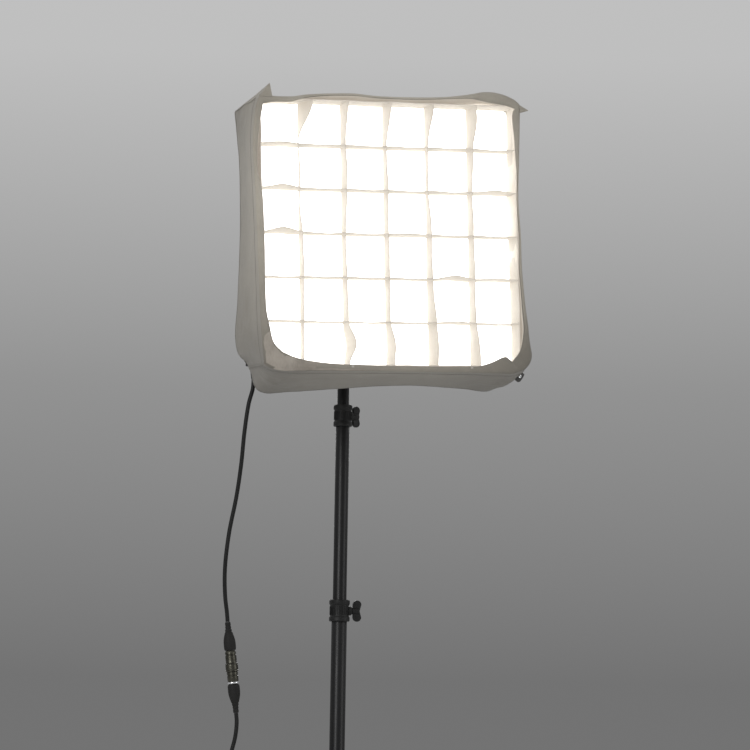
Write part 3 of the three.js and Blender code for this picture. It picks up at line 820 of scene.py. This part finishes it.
def add_ear(name, seam, tip, foot, bulge):
    """A corner where two walls stand up in a point: a tent of cloth that rises towards the front."""
    rows = 18
    columns = 20
    points = []
    for row in range(rows + 3):
        t = min(1, row / rows)
        shut = max(0, row - rows) / 2
        base = seam[0].lerp(seam[1], t)
        free = seam[0].lerp(tip, t) + (base - seam[0].lerp(tip, t)) * 0.9 * math.sin(math.pi * t) * (1 - t)
        inner = seam[0].lerp(foot, t)
        for column in range(columns + 1):
            s = column / columns
            if s < 0.5:
                spot = base.lerp(free, smooth(2 * s) * 0.4 + 1.2 * s)
            else:
                spot = free.lerp(inner, smooth(2 * s - 1) * 0.4 + 0.6 * (2 * s - 1))
            swell = math.sin(2 * math.pi * s) * math.sin(math.pi * t) * 0.8
            spot = spot + Vector(bulge) * swell
            points.append(spot.lerp(base.lerp(inner, s) + Vector((0, -0.6, 0)), shut))
    shape = points, grid_faces(rows + 3, columns + 1)
    return head_piece(name, shape, NYLON, "black_fabric", thick=1.0, angle=60)


def add_lining():
    """The pale inner face of the walls, from the hem to the diffuser."""
    inner = between(rear_edge, front_edge, 0.7)
    mouth = between(opening, front_edge, 0.08)
    shares = 0, 0.04, 0.12, 0.25, 0.4, 0.6, 0.8, 1.0
    points = []
    for t in shares:
        y = mix(FRONT + 0.9, DIFFUSER_FACE + 1.5, t)
        deep = between(inner, square(222, 8), 0.06 + 0.2 * smooth(t, 0, 0.3))
        loop = closed(between(mouth, deep, smooth(t, 0.02, 0.45)))
        inset = mix(-0.5, -2.6, smooth(t, 0, 0.25))
        for index, spot in enumerate(loop):
            out = outward(loop, index)
            proud = inset + 0.5 * ripple(spot.x, y, spot.y, 30, 2.2) * smooth(-inset, 0.5, 2.0)
            points.append(inside_corner(spot.x + out.x * proud, y, spot.y + out.y * proud))
    shape = points, grid_faces(len(shares), 4 * STEPS, wrap=True)
    return head_piece("inner_lining", shape, LINING, "grid_fabric", thick=0.5, angle=70)


def add_diffuser():
    """The white cloth over the light, a little slack in its middle."""
    rows = 40
    edge = between(between(rear_edge, front_edge, 0.7), square(221, 10), 0.35)
    points = []
    for spot in patch(scaled(edge, 0.985), rows):
        inside = max(abs(spot.x), abs(spot.y)) / 228
        billow = 2.2 * (1 - inside ** 4) + 0.9 * ripple(spot.x, 0, spot.y, 70, 5.0)
        points.append((spot.x, DIFFUSER_FACE + 1.2 - billow, spot.y))
    shape = points, grid_faces(rows + 1, rows + 1)
    return head_piece("diffuser_panel", shape, DIFFUSER, "diffuser_cloth", "front_diffuser", thick=0.8,
                      angle=60)


# How far each strip's front edge leans aside at its crossings, from the top or left end, in millimetres,
# and how far it bellies between them
UPRIGHT_LEAN = [
    [0, 0, 0, 0, 0, 0, 0],
    [15, -10, -9, -5, -4, -5, -6],
    [3, -3, -2, -5, -4, -3, -2],
    [3, -6, -4, -5, -4, -4, 2],
    [4, -8, -9, -4, -3, 2, 4],
    [5, -2, -5, -4, -3, -2, 4],
    [0, 0, 0, 0, 0, 0, 0],
]
UPRIGHT_BELLY = {(1, 1): 1, (1, 2): -2, (2, 1): 2, (2, 5): 13, (3, 5): 5, (4, 5): 2, (5, 0): 3, (5, 5): 2}
SHELF_DROOP = -2.4
SHELF_LIFT = {(1, 0): 3, (2, 0): 5, (3, 0): 6.5, (2, 5): 4, (4, 4): 5.5, (4, 5): 2.5, (5, 4): 3, (5, 0): 1,
              (3, 3): 1.5}


def strip_lean(index, along_strip):
    """An upright strip's lean at a place counted in cells, smooth through the crossings."""
    cell = min(CELLS - 1, int(along_strip))
    lean = UPRIGHT_LEAN[index]
    return mix(lean[cell], lean[cell + 1], smooth(along_strip - cell))


def add_grid_strip(points, rows, columns):
    """One strip of the grid's cloth, with its thickness."""
    obj = mesh_object("strip", points, grid_faces(rows, columns), GRID_CLOTH, FACE)
    thicken(obj, 0.9)
    return apply_modifiers(obj)


def inside_corner(x, y, z):
    """A point of the grid or lining, kept inside the walls where they are cut short at the lower left."""
    over = max(0, -(x + z) - 412)
    return x + over / 2, y, z + over / 2


def add_grid():
    """Seven upright and seven level strips of cloth, halved into each other where they cross."""
    depth_steps = 5
    cell_steps = 12
    rows = CELLS * cell_steps + 1
    strips = []
    for index in range(CELLS + 1):
        place = -GRID_HALF + index * PITCH
        edge = index in (0, CELLS)
        upright = []
        level = []
        for step in range(rows):
            run = step / cell_steps
            cell = min(CELLS - 1, int(run))
            arch = math.sin(math.pi * (run - cell)) ** 2
            lean = strip_lean(index, run)
            belly = UPRIGHT_BELLY.get((index, cell), 1.8 * ripple(index * 31, cell * 17, 3, 10)) * arch
            lift = SHELF_LIFT.get((index, cell), 0.9 * ripple(cell * 13, index * 29, 8, 10)) * arch
            droop = 0 if edge else SHELF_DROOP * (0.55 + 0.45 * arch)
            if edge:
                belly = lift = 0.8 * ripple(index * 9, step * 3, 1, 20)
            way = GRID_HALF - run * PITCH
            for depth in range(depth_steps):
                d = depth / (depth_steps - 1)
                front = 1 - d
                y = mix(GRID_FRONT, GRID_BACK, d)
                curl = 0.9 * ripple(place, y, way, 26, 4.4)
                x = place + front * lean + (0.35 + 0.65 * front) * belly + curl
                z = -place + front * (droop + lift) + 0.25 * lift + 0.7 * curl
                upright.append(inside_corner(x, y, way))
                level.append(inside_corner(-way, y, z))
        strips.append(add_grid_strip(upright, rows, depth_steps))
        strips.append(add_grid_strip(level, rows, depth_steps))
    return joined("crate_grid", strips, "grid_fabric", "egg_crate_grid", angle=60)


def add_stitches(line, length, gap):
    """A row of short thread stitches along a line, their length and gap in millimetres."""
    length *= MM
    span = length + gap * MM
    radius = 0.4 * MM
    count = int(line_length(line) / span)
    starts = [(k + 0.15) * span for k in range(count)]
    spots = spots_along(line, sorted([*starts, *[start + length for start in starts]]))
    shape = [(0, 0), (radius, length * 0.12), (radius, length * 0.88), (0, length)]
    parts = [(*lathe(shape, 5), along(a, b)) for a, b in zip(spots[::2], spots[1::2])]
    return mesh_object("run", *combined(*parts), THREAD)


def add_bunched_lining():
    """Pale lining that shows where the hem is bunched round the lower left corner."""
    inner = closed(opening)
    outer = closed(front_edge)
    parts = []
    for first, last, low, high, lift in ((-9, 15, 0.12, 0.92, 3.0), (3, 30, 0.80, 1.04, 1.2)):
        across = 9
        points = []
        for index in range(first, last + 1):
            along_it = (index - first) / (last - first)
            ends = smooth(min(along_it, 1 - along_it) / 0.12)
            for step in range(across):
                side = step / (across - 1)
                spot = inner[index].lerp(outer[index], mix(low, high, side))
                edges = smooth(min(side, 1 - side) / 0.25)
                fold = abs(ripple(spot.x, 0, spot.y, 9, 12.7)) + 0.5 * abs(ripple(spot.x, 0, spot.y, 4, 3.3))
                y = FRONT - 1.2 - (0.6 + lift * fold) * edges * ends
                shift = 1.4 * ripple(spot.x, 0, spot.y, 14, 8.8)
                points.append((spot.x + shift, y, spot.y + shift))
        parts.append((points, grid_faces(last - first + 1, across)))
    # Its cloth is a darker copy of the lining: painted shade in the bunched folds.
    return head_piece("bunched_lining", combined(*parts), SHADED_LINING, "grid_fabric", thick=0.7, angle=70)


def add_trim():
    """Seam welts down the corners, rows of stitching round both ends, and the small fittings on the hem."""
    welts = []
    for corner in range(4):
        line = [FACE @ on_skirt(t / 20, corner * STEPS, 0.5) for t in range(1, 18)]
        welts.append(tube("welt", catmull(line, 0.003), 0.0011, NYLON, 8))
    joined("corner_welts", welts, "black_fabric", angle=60)
    seams = []
    for t in (0.885, 0.03):
        line = [FACE @ on_skirt(t, index, 0.45) for index in range(4 * STEPS + 1)]
        seams.append(add_stitches(line, 3.2, 1.9))
    joined("skirt_stitches", seams, "black_fabric")
    tacks = []
    for x in (-72, 135):
        for row in range(4):
            place = Matrix.Translation((x - 2.5, FRONT - 1.9, -226 + 0.9 * row)) @ turned(90, "Y")
            tacks.append((*lathe([(0, 0), (0.55, 0.8), (0.55, 4.2), (0, 5)], 6), place))
    head_piece("hem_tacks", combined(*tacks), PALE_THREAD, "black_fabric")
    # A webbing tab with an eyelet, on the lower right corner's seam
    tab = [(-6, 9), (6, 9), (7, 2), (6.5, -6), (3, -9.5), (-3, -9.5), (-6.5, -6), (-7, 2)]
    place = FACE @ Matrix.Translation((238, -238, -233.5)) @ turned(35, "Y") @ turned(20, "Z")
    cloth = piece("corner_tab", prism(tab, -0.8, 0.8), WEBBING, place @ turned(90, "X"), "light_head",
                  "black_fabric", rounded=0.35)
    ring = [(1.3, -1.3), (2.5, -1.3), (2.9, -0.9), (2.5, -0.3), (2.5, 0.3), (2.9, 0.9), (2.5, 1.3),
            (1.3, 1.3), (1.3, -1.3)]
    over = Matrix.Translation((0, 0, 1.0)) @ turned(90, "X")
    piece("tab_eyelet", lathe(ring, 28), BRIGHT, place @ over, "light_head", "spring_steel")
    return cloth


skirt = add_skirt()
left_seam = Vector((-228, -132, 227)), Vector((-224, -295, 224))
left_ear = add_ear("ear_left", left_seam, Vector((-207, -296, 246)), Vector((-203, -296, 224)),
                   (-2.5, 0, 1.0))
right_seam = Vector((228, -132, 228)), Vector((229, -295, 224))
right_ear = add_ear("ear_right", right_seam, Vector((244.5, -296, 215)), Vector((229, -296, 211)),
                    (0.8, 0, 2.0))
tab = add_trim()
bunched = add_bunched_lining()
lining = add_lining()
diffuser = add_diffuser()
grid = add_grid()


# ---- Mat, its corner pockets and the holder ----


def add_mat():
    """The light's soft back: a cover drawn tight between its corners, over the board with its chips."""
    rows = 48
    points = []
    for spot in patch(mat_edge, rows):
        inside = max(abs(spot.x), abs(spot.y)) / 226
        hub = smooth(70 - spot.length, 0, 40)
        proud = 0.9 * ripple(spot.x, 0, spot.y, 55, 9.1) + 0.35 * ripple(spot.x, 0, spot.y, 17, 2.9)
        proud *= (1 - hub) * smooth(1 - inside, -0.02, 0.12)
        points.append((spot.x, MAT_REAR + 0.6 + proud - 1.6 * smooth(inside, 0.93, 1.0), spot.y))
    cover = head_piece("mat_cover", (points, grid_faces(rows + 1, rows + 1)), MAT_NYLON, "black_fabric",
                       "mat_back_cover", "mat_binding", thick=1.4, angle=60)
    points = [(spot.x, MAT_FRONT + 3.6, spot.y) for spot in patch(scaled(mat_edge, 0.962), 20)]
    board = head_piece("led_sheet", (points, grid_faces(21, 21)), BOARD, "led_board", "led_board", thick=1.8)
    chips = []
    for column in range(16):
        for row in range(16):
            x, z = [(index - 7.5) * 26.5 for index in (column, row)]
            chips.append(box_points((x - 1.8, MAT_REAR - 4.2, z - 1.4), (x + 1.8, MAT_REAR - 3.2, z + 1.4)))
    head_piece("led_chips", combined(*chips), CHIP, "led_board")
    return cover, board


POCKET_SIDE = 65
HUB_REAR = -110.7


def on_pocket(u, v, corner, along_one, along_two, proud=0.0):
    """A point on a corner pocket, by its shares of the way along the two edges."""
    spot = corner + u * (along_one - corner) + v * (along_two - corner)
    ridge = math.exp(-((u - v) / 0.36) ** 4)
    seam = smooth(min(u, v) / 0.12)
    height = 1.6 + 6.9 * ridge * smooth(u + v, 0.02, 0.28) * seam + 1.0 * seam
    return spot.x, MAT_REAR + height + proud, spot.y


def add_pocket(name, *corners):
    """A triangle of webbing sewn over a corner, raised where the arm slides in."""
    steps = 20
    points = []
    rows = []
    for a in range(steps + 1):
        rows.append(range(len(points), len(points) + steps + 1 - a))
        points += [on_pocket(a / steps, b / steps, *corners) for b in range(steps + 1 - a)]
    faces = []
    for row, after in zip(rows, rows[1:]):
        for b in range(len(after)):
            faces.append((row[b], row[b + 1], after[b]))
            if b + 1 < len(after):
                faces.append((row[b + 1], after[b + 1], after[b]))
    cloth = head_piece(name + "_cloth", (points, faces), WEBBING, "black_fabric", name, thick=1.2, angle=60)
    threads = []
    shares = [0.16 + 0.62 * k / 18 for k in range(19)]
    for swap in (False, True):
        for inset in (0.13, 0.19):
            spots = [(inset, share) if swap else (share, inset) for share in shares]
            run = [FACE @ Vector(on_pocket(u, v, *corners, proud=0.8)) for u, v in spots]
            threads.append(add_stitches(run, 3.0, 1.6))
    joined(name + "_seam", threads, "black_fabric")
    return cloth


def add_holder():
    """The corner pockets, and the X of arms that its hub clamps."""
    bottom, right, top, left = mat_edge
    reach = round(STEPS * POCKET_SIDE / 445)
    cloths = [
        add_pocket("pocket_bottom_left", bottom[1], bottom[reach], left[-1 - reach]),
        add_pocket("pocket_bottom_right", bottom[-2], right[reach], bottom[-1 - reach]),
        add_pocket("pocket_top_right", top[1], top[reach], right[-1 - reach]),
        add_pocket("pocket_top_left", left[1], left[reach], top[-1 - reach]),
    ]
    for corner in ("top_right", "top_left", "bottom_left", "bottom_right"):
        arm = refined("arm_" + corner, "light_head", "spring_steel", SPRING, 0.7)
        if corner == "bottom_left":
            # This arm ends inside its pocket, where the corner is cut short
            for vertex in arm.data.vertices:
                spot = FACE.inverted() @ vertex.co
                over = max(0, -(spot.x + spot.z) - 2 * 203) / 2
                vertex.co = FACE @ (spot + Vector((over, 0, over)))
    refined("holder_hub", "light_head", "black_plastic", PLASTIC, 1.2)
    # Screws that close the hub over the arms
    screws = []
    rim = [(0, 0), (3.9, 0), (3.9, 1.0), (3.3, 1.7), (1.6, 1.7), (1.4, 0.7), (0, 0.7)]
    for degrees in (0, 90, 180, 270):
        x, z, _ = around(31, math.radians(degrees))
        screws.append((*lathe(rim, 20), Matrix.Translation((x, HUB_REAR - 0.4, z)) @ turned(-90, "X")))
    head_piece("hub_screws", combined(*screws), BRIGHT, "spring_steel", angle=30)
    return cloths


mat_cover, led_board = add_mat()
pockets = add_holder()


# ---- Tilt joint and receiver ----


def add_tilt_joint():
    """The fork, pin, lever and tongue that tilt the light, and the receiver that turns on the spigot."""
    refined("tilt_fork", "light_head", "black_paint", PAINT, 1.1)
    refined("tilt_pin", "light_head", "spring_steel", BRIGHT, 0.8)
    refined("tilt_tongue", "receiver", "black_paint", PAINT, 1.0)
    refined("tilt_lever", "tilt_clamp", "black_plastic", PLASTIC, 2.0, 3)
    refined("receiver_knob", "receiver_screw", "black_plastic", PLASTIC, 1.4, 3)
    socket = [(0, 18), (8.2, 18), (8.2, -29.4), (8.8, -30), (16.2, -30), (17, -29.2), (17, -24),
              (16.6, -23.4), (16.6, -22.6), (17, -22), (17, 22), (16.6, 22.6), (16.6, 23.4), (17, 24),
              (17, 26.6), (14.4, 29.7), (13.4, 30), (0, 30)]
    place = MAST @ Matrix.Translation((0, 0, lamp_height / MM))
    piece("receiver_body", lathe(socket, 64), PAINT, place, "receiver", "black_paint", "receiver_socket",
          rounded=0.3, angle=30)
    low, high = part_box("spigot")
    neck = (low.z + 0.029) / MM
    top = high.z / MM
    pin = [(0, neck - 29), (9.1, neck - 29), (9.1, neck - 3.4), (11.0, neck - 3.2), (11.5, neck - 2.6),
           (11.5, neck - 0.4), (11.0, neck), (8.4, neck), (7.95, neck + 0.6), (7.95, top - 2.0), (6.6, top),
           (0, top)]
    piece("spigot_pin", lathe(pin, 56), BRIGHT, MAST, "top_stage", "spigot_metal", "spigot", angle=30)


add_tilt_joint()


# ---- Mast ----


def add_tube(node, body):
    """A drawn tube with its upper end rolled in."""
    low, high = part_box(node)
    radius = (high.x - low.x) / 2 / MM
    foot = low.z / MM
    top = high.z / MM
    inner = radius - 1.1
    wall = [(inner, foot), (radius - 0.3, foot), (radius, foot + 0.3), (radius, top - 1.2),
            (radius - 0.35, top - 0.3), (radius - 0.8, top), (inner, top - 0.2), (inner, foot)]
    piece(node + "_drawn", lathe(wall, 64), PAINT, MAST, body, "black_paint", node, angle=30)


def add_collar(node, body, degrees):
    """A moulded clamp collar: flanged ends, a ribbed grip and the boss that the knob's screw runs in."""
    low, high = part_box(node)
    wall = -low.x / MM - 1.5
    bore = wall - 2.7
    thin = wall - 4.1
    foot = low.z / MM
    top = high.z / MM
    middle = (foot + top) / 2
    step = middle - 6.7
    sleeve = [(thin, top - 0.8), (thin, step), (bore, step), (bore, foot + 0.6), (bore + 0.6, foot)]
    flange = [(0.4, 0), (1.5, 1.6), (1.5, 7.4), (0.9, 8.4), (0, 9.6)]
    sleeve += [(wall + out, foot + rise) for out, rise in flange]
    sleeve += [(wall + out, top - rise) for out, rise in reversed(flange)]
    sleeve += [(thin + 0.8, top), (thin, top - 0.8)]
    parts = [lathe(sleeve, 72)]
    # Ribs of the grip, away from the boss
    for k in range(28):
        rib = box_points((wall - 0.4, -0.45, middle - 7.5), (wall + 0.75, 0.45, middle + 7.5))
        parts.append((*rib, turned(28 + k * (304 / 27), "Z")))
    place = MAST @ turned(degrees, "Z")
    piece(node + "_ring", combined(*parts), PLASTIC, place, body, "black_plastic", node, rounded=0.25,
          angle=32)
    root = wall - 1.5
    end = wall + 4.5
    boss = [(3.4, root), (8.2, root), (8.0, end - 1.0), (7.2, end), (4.0, end), (3.4, end - 0.6), (3.4, root)]
    across = Matrix.Translation((0, 0, middle)) @ turned(90, "Y")
    piece(node + "_boss", lathe(boss, 40), PLASTIC, place @ across, body, "black_plastic", angle=32)


for name, body in (("top_tube", "top_stage"), ("upper_middle_tube", "upper_stage"),
                   ("lower_middle_tube", "lower_stage"), ("base_tube", "stand_base")):
    add_tube(name, body)
for level, body, degrees in (
    ("upper", "upper_stage", 25),
    ("middle", "lower_stage", 0),
    ("lower", "stand_base", 0),
):
    add_collar(level + "_collar", body, degrees)
    refined(level + "_wing_knob", level + "_wing", "black_plastic", PLASTIC, 1.5, 3)


# ---- Legs ----

LEG_TURNS = {"front": -90, "right": 30, "left": 150}
PIVOT_RADIUS = 30
LEG_PIVOT = 239
BRACE_PIVOT = 66
LEG_TILT = math.radians(58)


def rivet(across, turn, radius, height, half):
    """A domed rivet through a pivot, across the leg's plane, with its place."""
    head = [(0, 0), (0.6, 0.15), (0.95, 0.8), (1, 1.6), (0.5, 1.6)]
    dome = [(across * share, inset - half) for share, inset in head]
    dome += [(across * share, half - inset) for share, inset in reversed(head)]
    place = Matrix.Rotation(turn, 4, "Z") @ Matrix.Translation((radius, 0, height))
    return (*lathe(dome, 24), place @ turned(90, "X"))


def add_legs():
    """The leg collar and its knob, the bottom collar, and three legs and braces with their rivets."""
    refined("leg_collar", "leg_slider", "black_plastic", PLASTIC, 1.0, 3)
    refined("leg_collar_knob", "leg_slider_knob", "black_plastic", PLASTIC, 1.5, 3)
    refined("bottom_collar", "stand_base", "black_plastic", PLASTIC, 1.0, 3)
    reach = (LEG_PIVOT - BRACE_PIVOT) / (2 * math.cos(LEG_TILT))
    joint_radius = PIVOT_RADIUS + reach * math.sin(LEG_TILT)
    joint_height = LEG_PIVOT - reach * math.cos(LEG_TILT)
    upper = []
    lower = []
    for name, degrees in LEG_TURNS.items():
        turn = math.radians(degrees)
        refined("leg_" + name, name + "_leg", "black_paint", PAINT, 1.2, 3)
        refined("foot_" + name, name + "_leg", "black_rubber", RUBBER, 1.6, 3)
        refined("brace_" + name, name + "_brace", "black_paint", PAINT, 0.5)
        upper.append(rivet(3.6, turn, PIVOT_RADIUS, LEG_PIVOT, 10.4))
        lower.append(rivet(3.4, turn, PIVOT_RADIUS, BRACE_PIVOT, 8.6))
        *shape, place = rivet(3.4, turn, joint_radius, joint_height, 8.6)
        piece("brace_rivet_" + name, shape, BRIGHT, MAST @ place, name + "_brace", "spring_steel", angle=30)
    piece("leg_rivets", combined(*upper), BRIGHT, MAST, "leg_slider", "spring_steel", angle=30)
    piece("brace_foot_rivets", combined(*lower), BRIGHT, MAST, "stand_base", "spring_steel", angle=30)


add_legs()


# ---- Connectors, gland and ties on the lead ----


def boot_outline(start, end, swell=1.0):
    """A strain relief that swells from the lead to a bulb, with shallow grooves near its slender end."""
    curve = [(0, 4.4), (0.05, 4.8), (0.17, 5.0), (0.29, 5.7), (0.42, 7.3), (0.54, 8.9), (0.65, 9.9),
             (0.76, 10.3), (0.88, 10.3), (0.95, 10.0), (0.985, 9.5), (1.0, 9.0)]
    boot = [(0, start)]
    for spot in catmull([(share, radius, 0) for share, radius in curve], 0.02):
        groove = 0.45 * smooth(math.sin(spot.x * 60) * 0.5 + 0.5, 0.35, 0.8) * smooth(0.46 - spot.x, 0, 0.08)
        radius = mix(4.4, spot.y, swell) - groove * smooth(spot.x, 0.04, 0.08)
        boot.append((radius, mix(start, end, spot.x)))
    return [*boot, (0, end)]


def knurled(radius, start, end, sides=72, depth=0.35):
    """A closed band whose surface is cut into fine diamonds."""
    rows = max(4, round((end - start) / 0.9))
    points = []
    for row in range(rows + 1):
        for side in range(sides):
            cut = depth * ((side + row) % 2) if 0 < row < rows else depth
            points.append(around(radius - cut, 2 * math.pi * side / sides, mix(start, end, row / rows)))
    points += [(0, 0, start), (0, 0, end)]
    faces = grid_faces(rows + 1, sides, wrap=True)
    last = len(points) - 1
    base = rows * sides
    faces += [(last - 1, (s + 1) % sides, s) for s in range(sides)]
    faces += [(last, base + s, base + (s + 1) % sides) for s in range(sides)]
    return points, faces


def add_connector():
    """The in-line connector: a plug that a coupling ring screws into a socket, each with a rubber boot."""
    foot = MAST @ Vector(PLUG_FOOT)
    place = along(MAST @ Vector(PLUG_TOP), foot) @ Matrix.Scale(MM, 4)
    total = (Vector(PLUG_TOP) - Vector(PLUG_FOOT)).length
    boot = 48
    ring_top = total / 2 - 7
    ring_end = ring_top + 14
    end = total - boot - 0.3
    socket = [(0, boot + 0.3), (7.9, boot + 0.3), (9.0, boot + 2.6), (9.5, boot + 3.6), (9.5, boot + 6.4),
              (8.7, boot + 7.0), (8.7, boot + 8.0), (9.3, boot + 8.6), (9.3, ring_top - 3.0),
              (9.5, ring_top - 2.4), (9.5, ring_top - 0.6), (9.1, ring_top - 0.3), (0, ring_top - 0.3)]
    ring = [(0, ring_top), (10.0, ring_top), (10.6, ring_top + 0.6), (10.6, ring_top + 1.8),
            (10.0, ring_top + 2.2), (10.0, ring_end - 2.6), (10.8, ring_end - 2.2), (10.8, ring_end - 0.5),
            (10.2, ring_end), (0, ring_end)]
    plug = [(0, ring_end + 0.3), (9.0, ring_end + 0.3), (9.5, ring_end + 0.9), (9.5, ring_end + 5.4),
            (8.8, ring_end + 6.0), (8.8, ring_end + 7.0), (9.5, ring_end + 7.6), (9.5, end - 6.2),
            (9.1, end - 5.4), (9.1, end - 4.2), (8.5, end - 1.4), (7.9, end), (0, end)]
    band = [(8.2, end - 4.0), (9.55, end - 4.0), (9.75, end - 3.6), (9.75, end - 1.8), (9.55, end - 1.4),
            (8.2, end - 1.4), (8.2, end - 4.0)]
    grip = knurled(9.5, boot + 9.6, ring_top - 4.2)
    ring_grip = knurled(10.75, ring_top + 2.4, ring_end - 2.9, 60, 0.45)
    boots = lathe(boot_outline(0, boot), 40), lathe(boot_outline(total, total - boot), 40)
    made = []
    for name, shape, material, body, slot, nodes, angle in (
        ("upper_boot_ribbed", boots[0], RUBBER, "receiver", "black_rubber", ["upper_boot"], 30),
        ("lower_boot_ribbed", boots[1], RUBBER, "receiver", "black_rubber", ["lower_boot"], 30),
        ("socket_turned", combined(lathe(socket, 56), grip), SHELL, "receiver", "shell_metal",
         ["socket_shell"], 28),
        ("coupling_turned", combined(lathe(ring, 56), ring_grip), SHELL, "lead_ring", "shell_metal",
         ["coupling_ring"], 28),
        ("plug_turned", lathe(plug, 56), SHELL, "receiver", "shell_metal", ["plug_shell"], 28),
        ("plug_band", lathe(band, 56), BRIGHT, "receiver", "spring_steel", [], 28),
    ):
        made.append(piece(name, shape, material, place, body, slot, *nodes, angle=angle))
    return made


def add_end_plug():
    """The plug at the lead's end, with five pins in its open shell, and its boot."""
    tip = Vector(END_TIP)
    place = along(MAST @ tip, MAST @ (tip + Vector((1, 0, 0)))) @ Matrix.Scale(MM, 4)
    boot = piece("end_boot_ribbed", lathe(boot_outline(0, 34, 0.48), 40), RUBBER, place, "stand_base",
                 "black_rubber", angle=30)
    body = [(0, 33.5), (7.6, 33.5), (8.8, 35.2), (9.5, 36.2), (9.5, 40), (8.9, 40.6), (8.9, 41.6),
            (9.4, 42.2), (9.4, 52.5), (9.0, 53), (9.0, 61.5), (8.5, 62), (6.9, 62), (6.9, 54), (0, 54)]
    parts = [lathe(body, 56), knurled(9.5, 43.2, 51.6)]
    pin = [(0, 53.5), (0.8, 53.5), (0.8, 60.2), (0.4, 60.8), (0, 60.8)]
    for k in range(5):
        parts.append((*lathe(pin, 12), Matrix.Translation(around(4.0, 2 * math.pi * k / 5))))
    shell = piece("end_plug_turned", combined(*parts), SHELL, place, "stand_base", "shell_metal", "end_plug",
                  angle=28)
    return boot, shell


def add_ties():
    """Two hook-and-loop ties round the coil's turns."""
    half_wide = 10.9
    low, high = 0.95, 21.6
    corner = 3.2  # the power that rounds the ties' corners
    count = 40
    points = []
    for k in range(count + 1):
        c, s, _ = around(1, 2 * math.pi * k / count)
        flat = (abs(c) ** corner + abs(s) ** corner) ** (-1 / corner)
        radius = COIL_RADII[1] + half_wide * flat * c
        height = mix(low, high, 0.5) + (high - low) / 2 * flat * s
        points += [(radius, across, height) for across in (-6.5, -3.2, 0, 3.2, 6.5)]
    parts = []
    for degrees in (200, 330):
        place = Matrix.Translation((*COIL_CENTRE, 0)) @ turned(degrees, "Z")
        parts.append((points, grid_faces(count + 1, 5), place))
    return piece("lead_ties", combined(*parts), WEBBING, MAST, "stand_base", "black_rubber", thick=0.8,
                 offset=1.0, angle=60)


refined("cable_gland", "light_head", "black_rubber", RUBBER, 0.6)
upper_boot, lower_boot, socket_shell, coupling, plug_shell, plug_band = add_connector()
end_plug = add_end_plug()
ties = add_ties()


# ---- Floor, light and finish ----


def add_stage():
    """A pale floor."""
    shader = Shader("floor", Roughness=0.75)
    tones = (0.3, (0.60, 0.60, 0.595)), (0.7, (0.64, 0.64, 0.635))
    shader.link(shader.ramp(shader.noise(3, 4, 0.5), *tones), "Base Color")
    points = [(-8, -8, 0), (8, -8, 0), (8, 8, 0), (-8, 8, 0)]
    mesh_object("floor", points, [(0, 1, 2, 3)], shader.material)


def add_light(name, spot, aim, size, power):
    """A soft light at a spot, aimed at a point."""
    data = bpy.data.lights.new(name, "AREA")
    data.shape = "RECTANGLE"
    data.size, data.size_y = size
    data.energy = power
    light = bpy.data.objects.new(name, data)
    turn = (Vector(aim) - Vector(spot)).to_track_quat("-Z", "Y").to_matrix().to_4x4()
    light.matrix_world = Matrix.Translation(spot) @ turn
    bpy.context.scene.collection.objects.link(light)


def add_world():
    """A grey studio wall all round, darker towards the floor."""
    world = bpy.data.worlds.new("studio")
    world.use_nodes = True
    nodes = world.node_tree.nodes
    links = world.node_tree.links
    way = nodes.new("ShaderNodeTexCoord")
    parts = nodes.new("ShaderNodeSeparateXYZ")
    ramp = nodes.new("ShaderNodeValToRGB")
    tones = ((0.0, 0.17), (0.10, 0.29), (0.21, 0.52), (0.5, 0.62))
    for index, (height, tone) in enumerate(tones):
        if index < 2:
            stop = ramp.color_ramp.elements[index]
            stop.position = height
        else:
            stop = ramp.color_ramp.elements.new(height)
        stop.color = (tone, tone, tone, 1)
    links.new(way.outputs["Generated"], parts.inputs[0])
    links.new(parts.outputs["Z"], ramp.inputs[0])
    links.new(ramp.outputs["Color"], nodes["Background"].inputs["Color"])
    bpy.context.scene.world = world


add_stage()
add_world()
add_light("key", (-3.2, -3.4, 1.9), (0, 0, 1.0), (1.6, 2.0), 90)
add_light("fill", (3.2, -2.4, 1.4), (0, 0, 0.9), (2.0, 2.0), 30)
add_light("back", (0.8, 3.4, 2.2), (0, 0, 1.1), (2.0, 1.6), 40)

bpy.context.scene.view_settings.view_transform = "Standard"
bpy.context.scene.view_settings.look = "None"
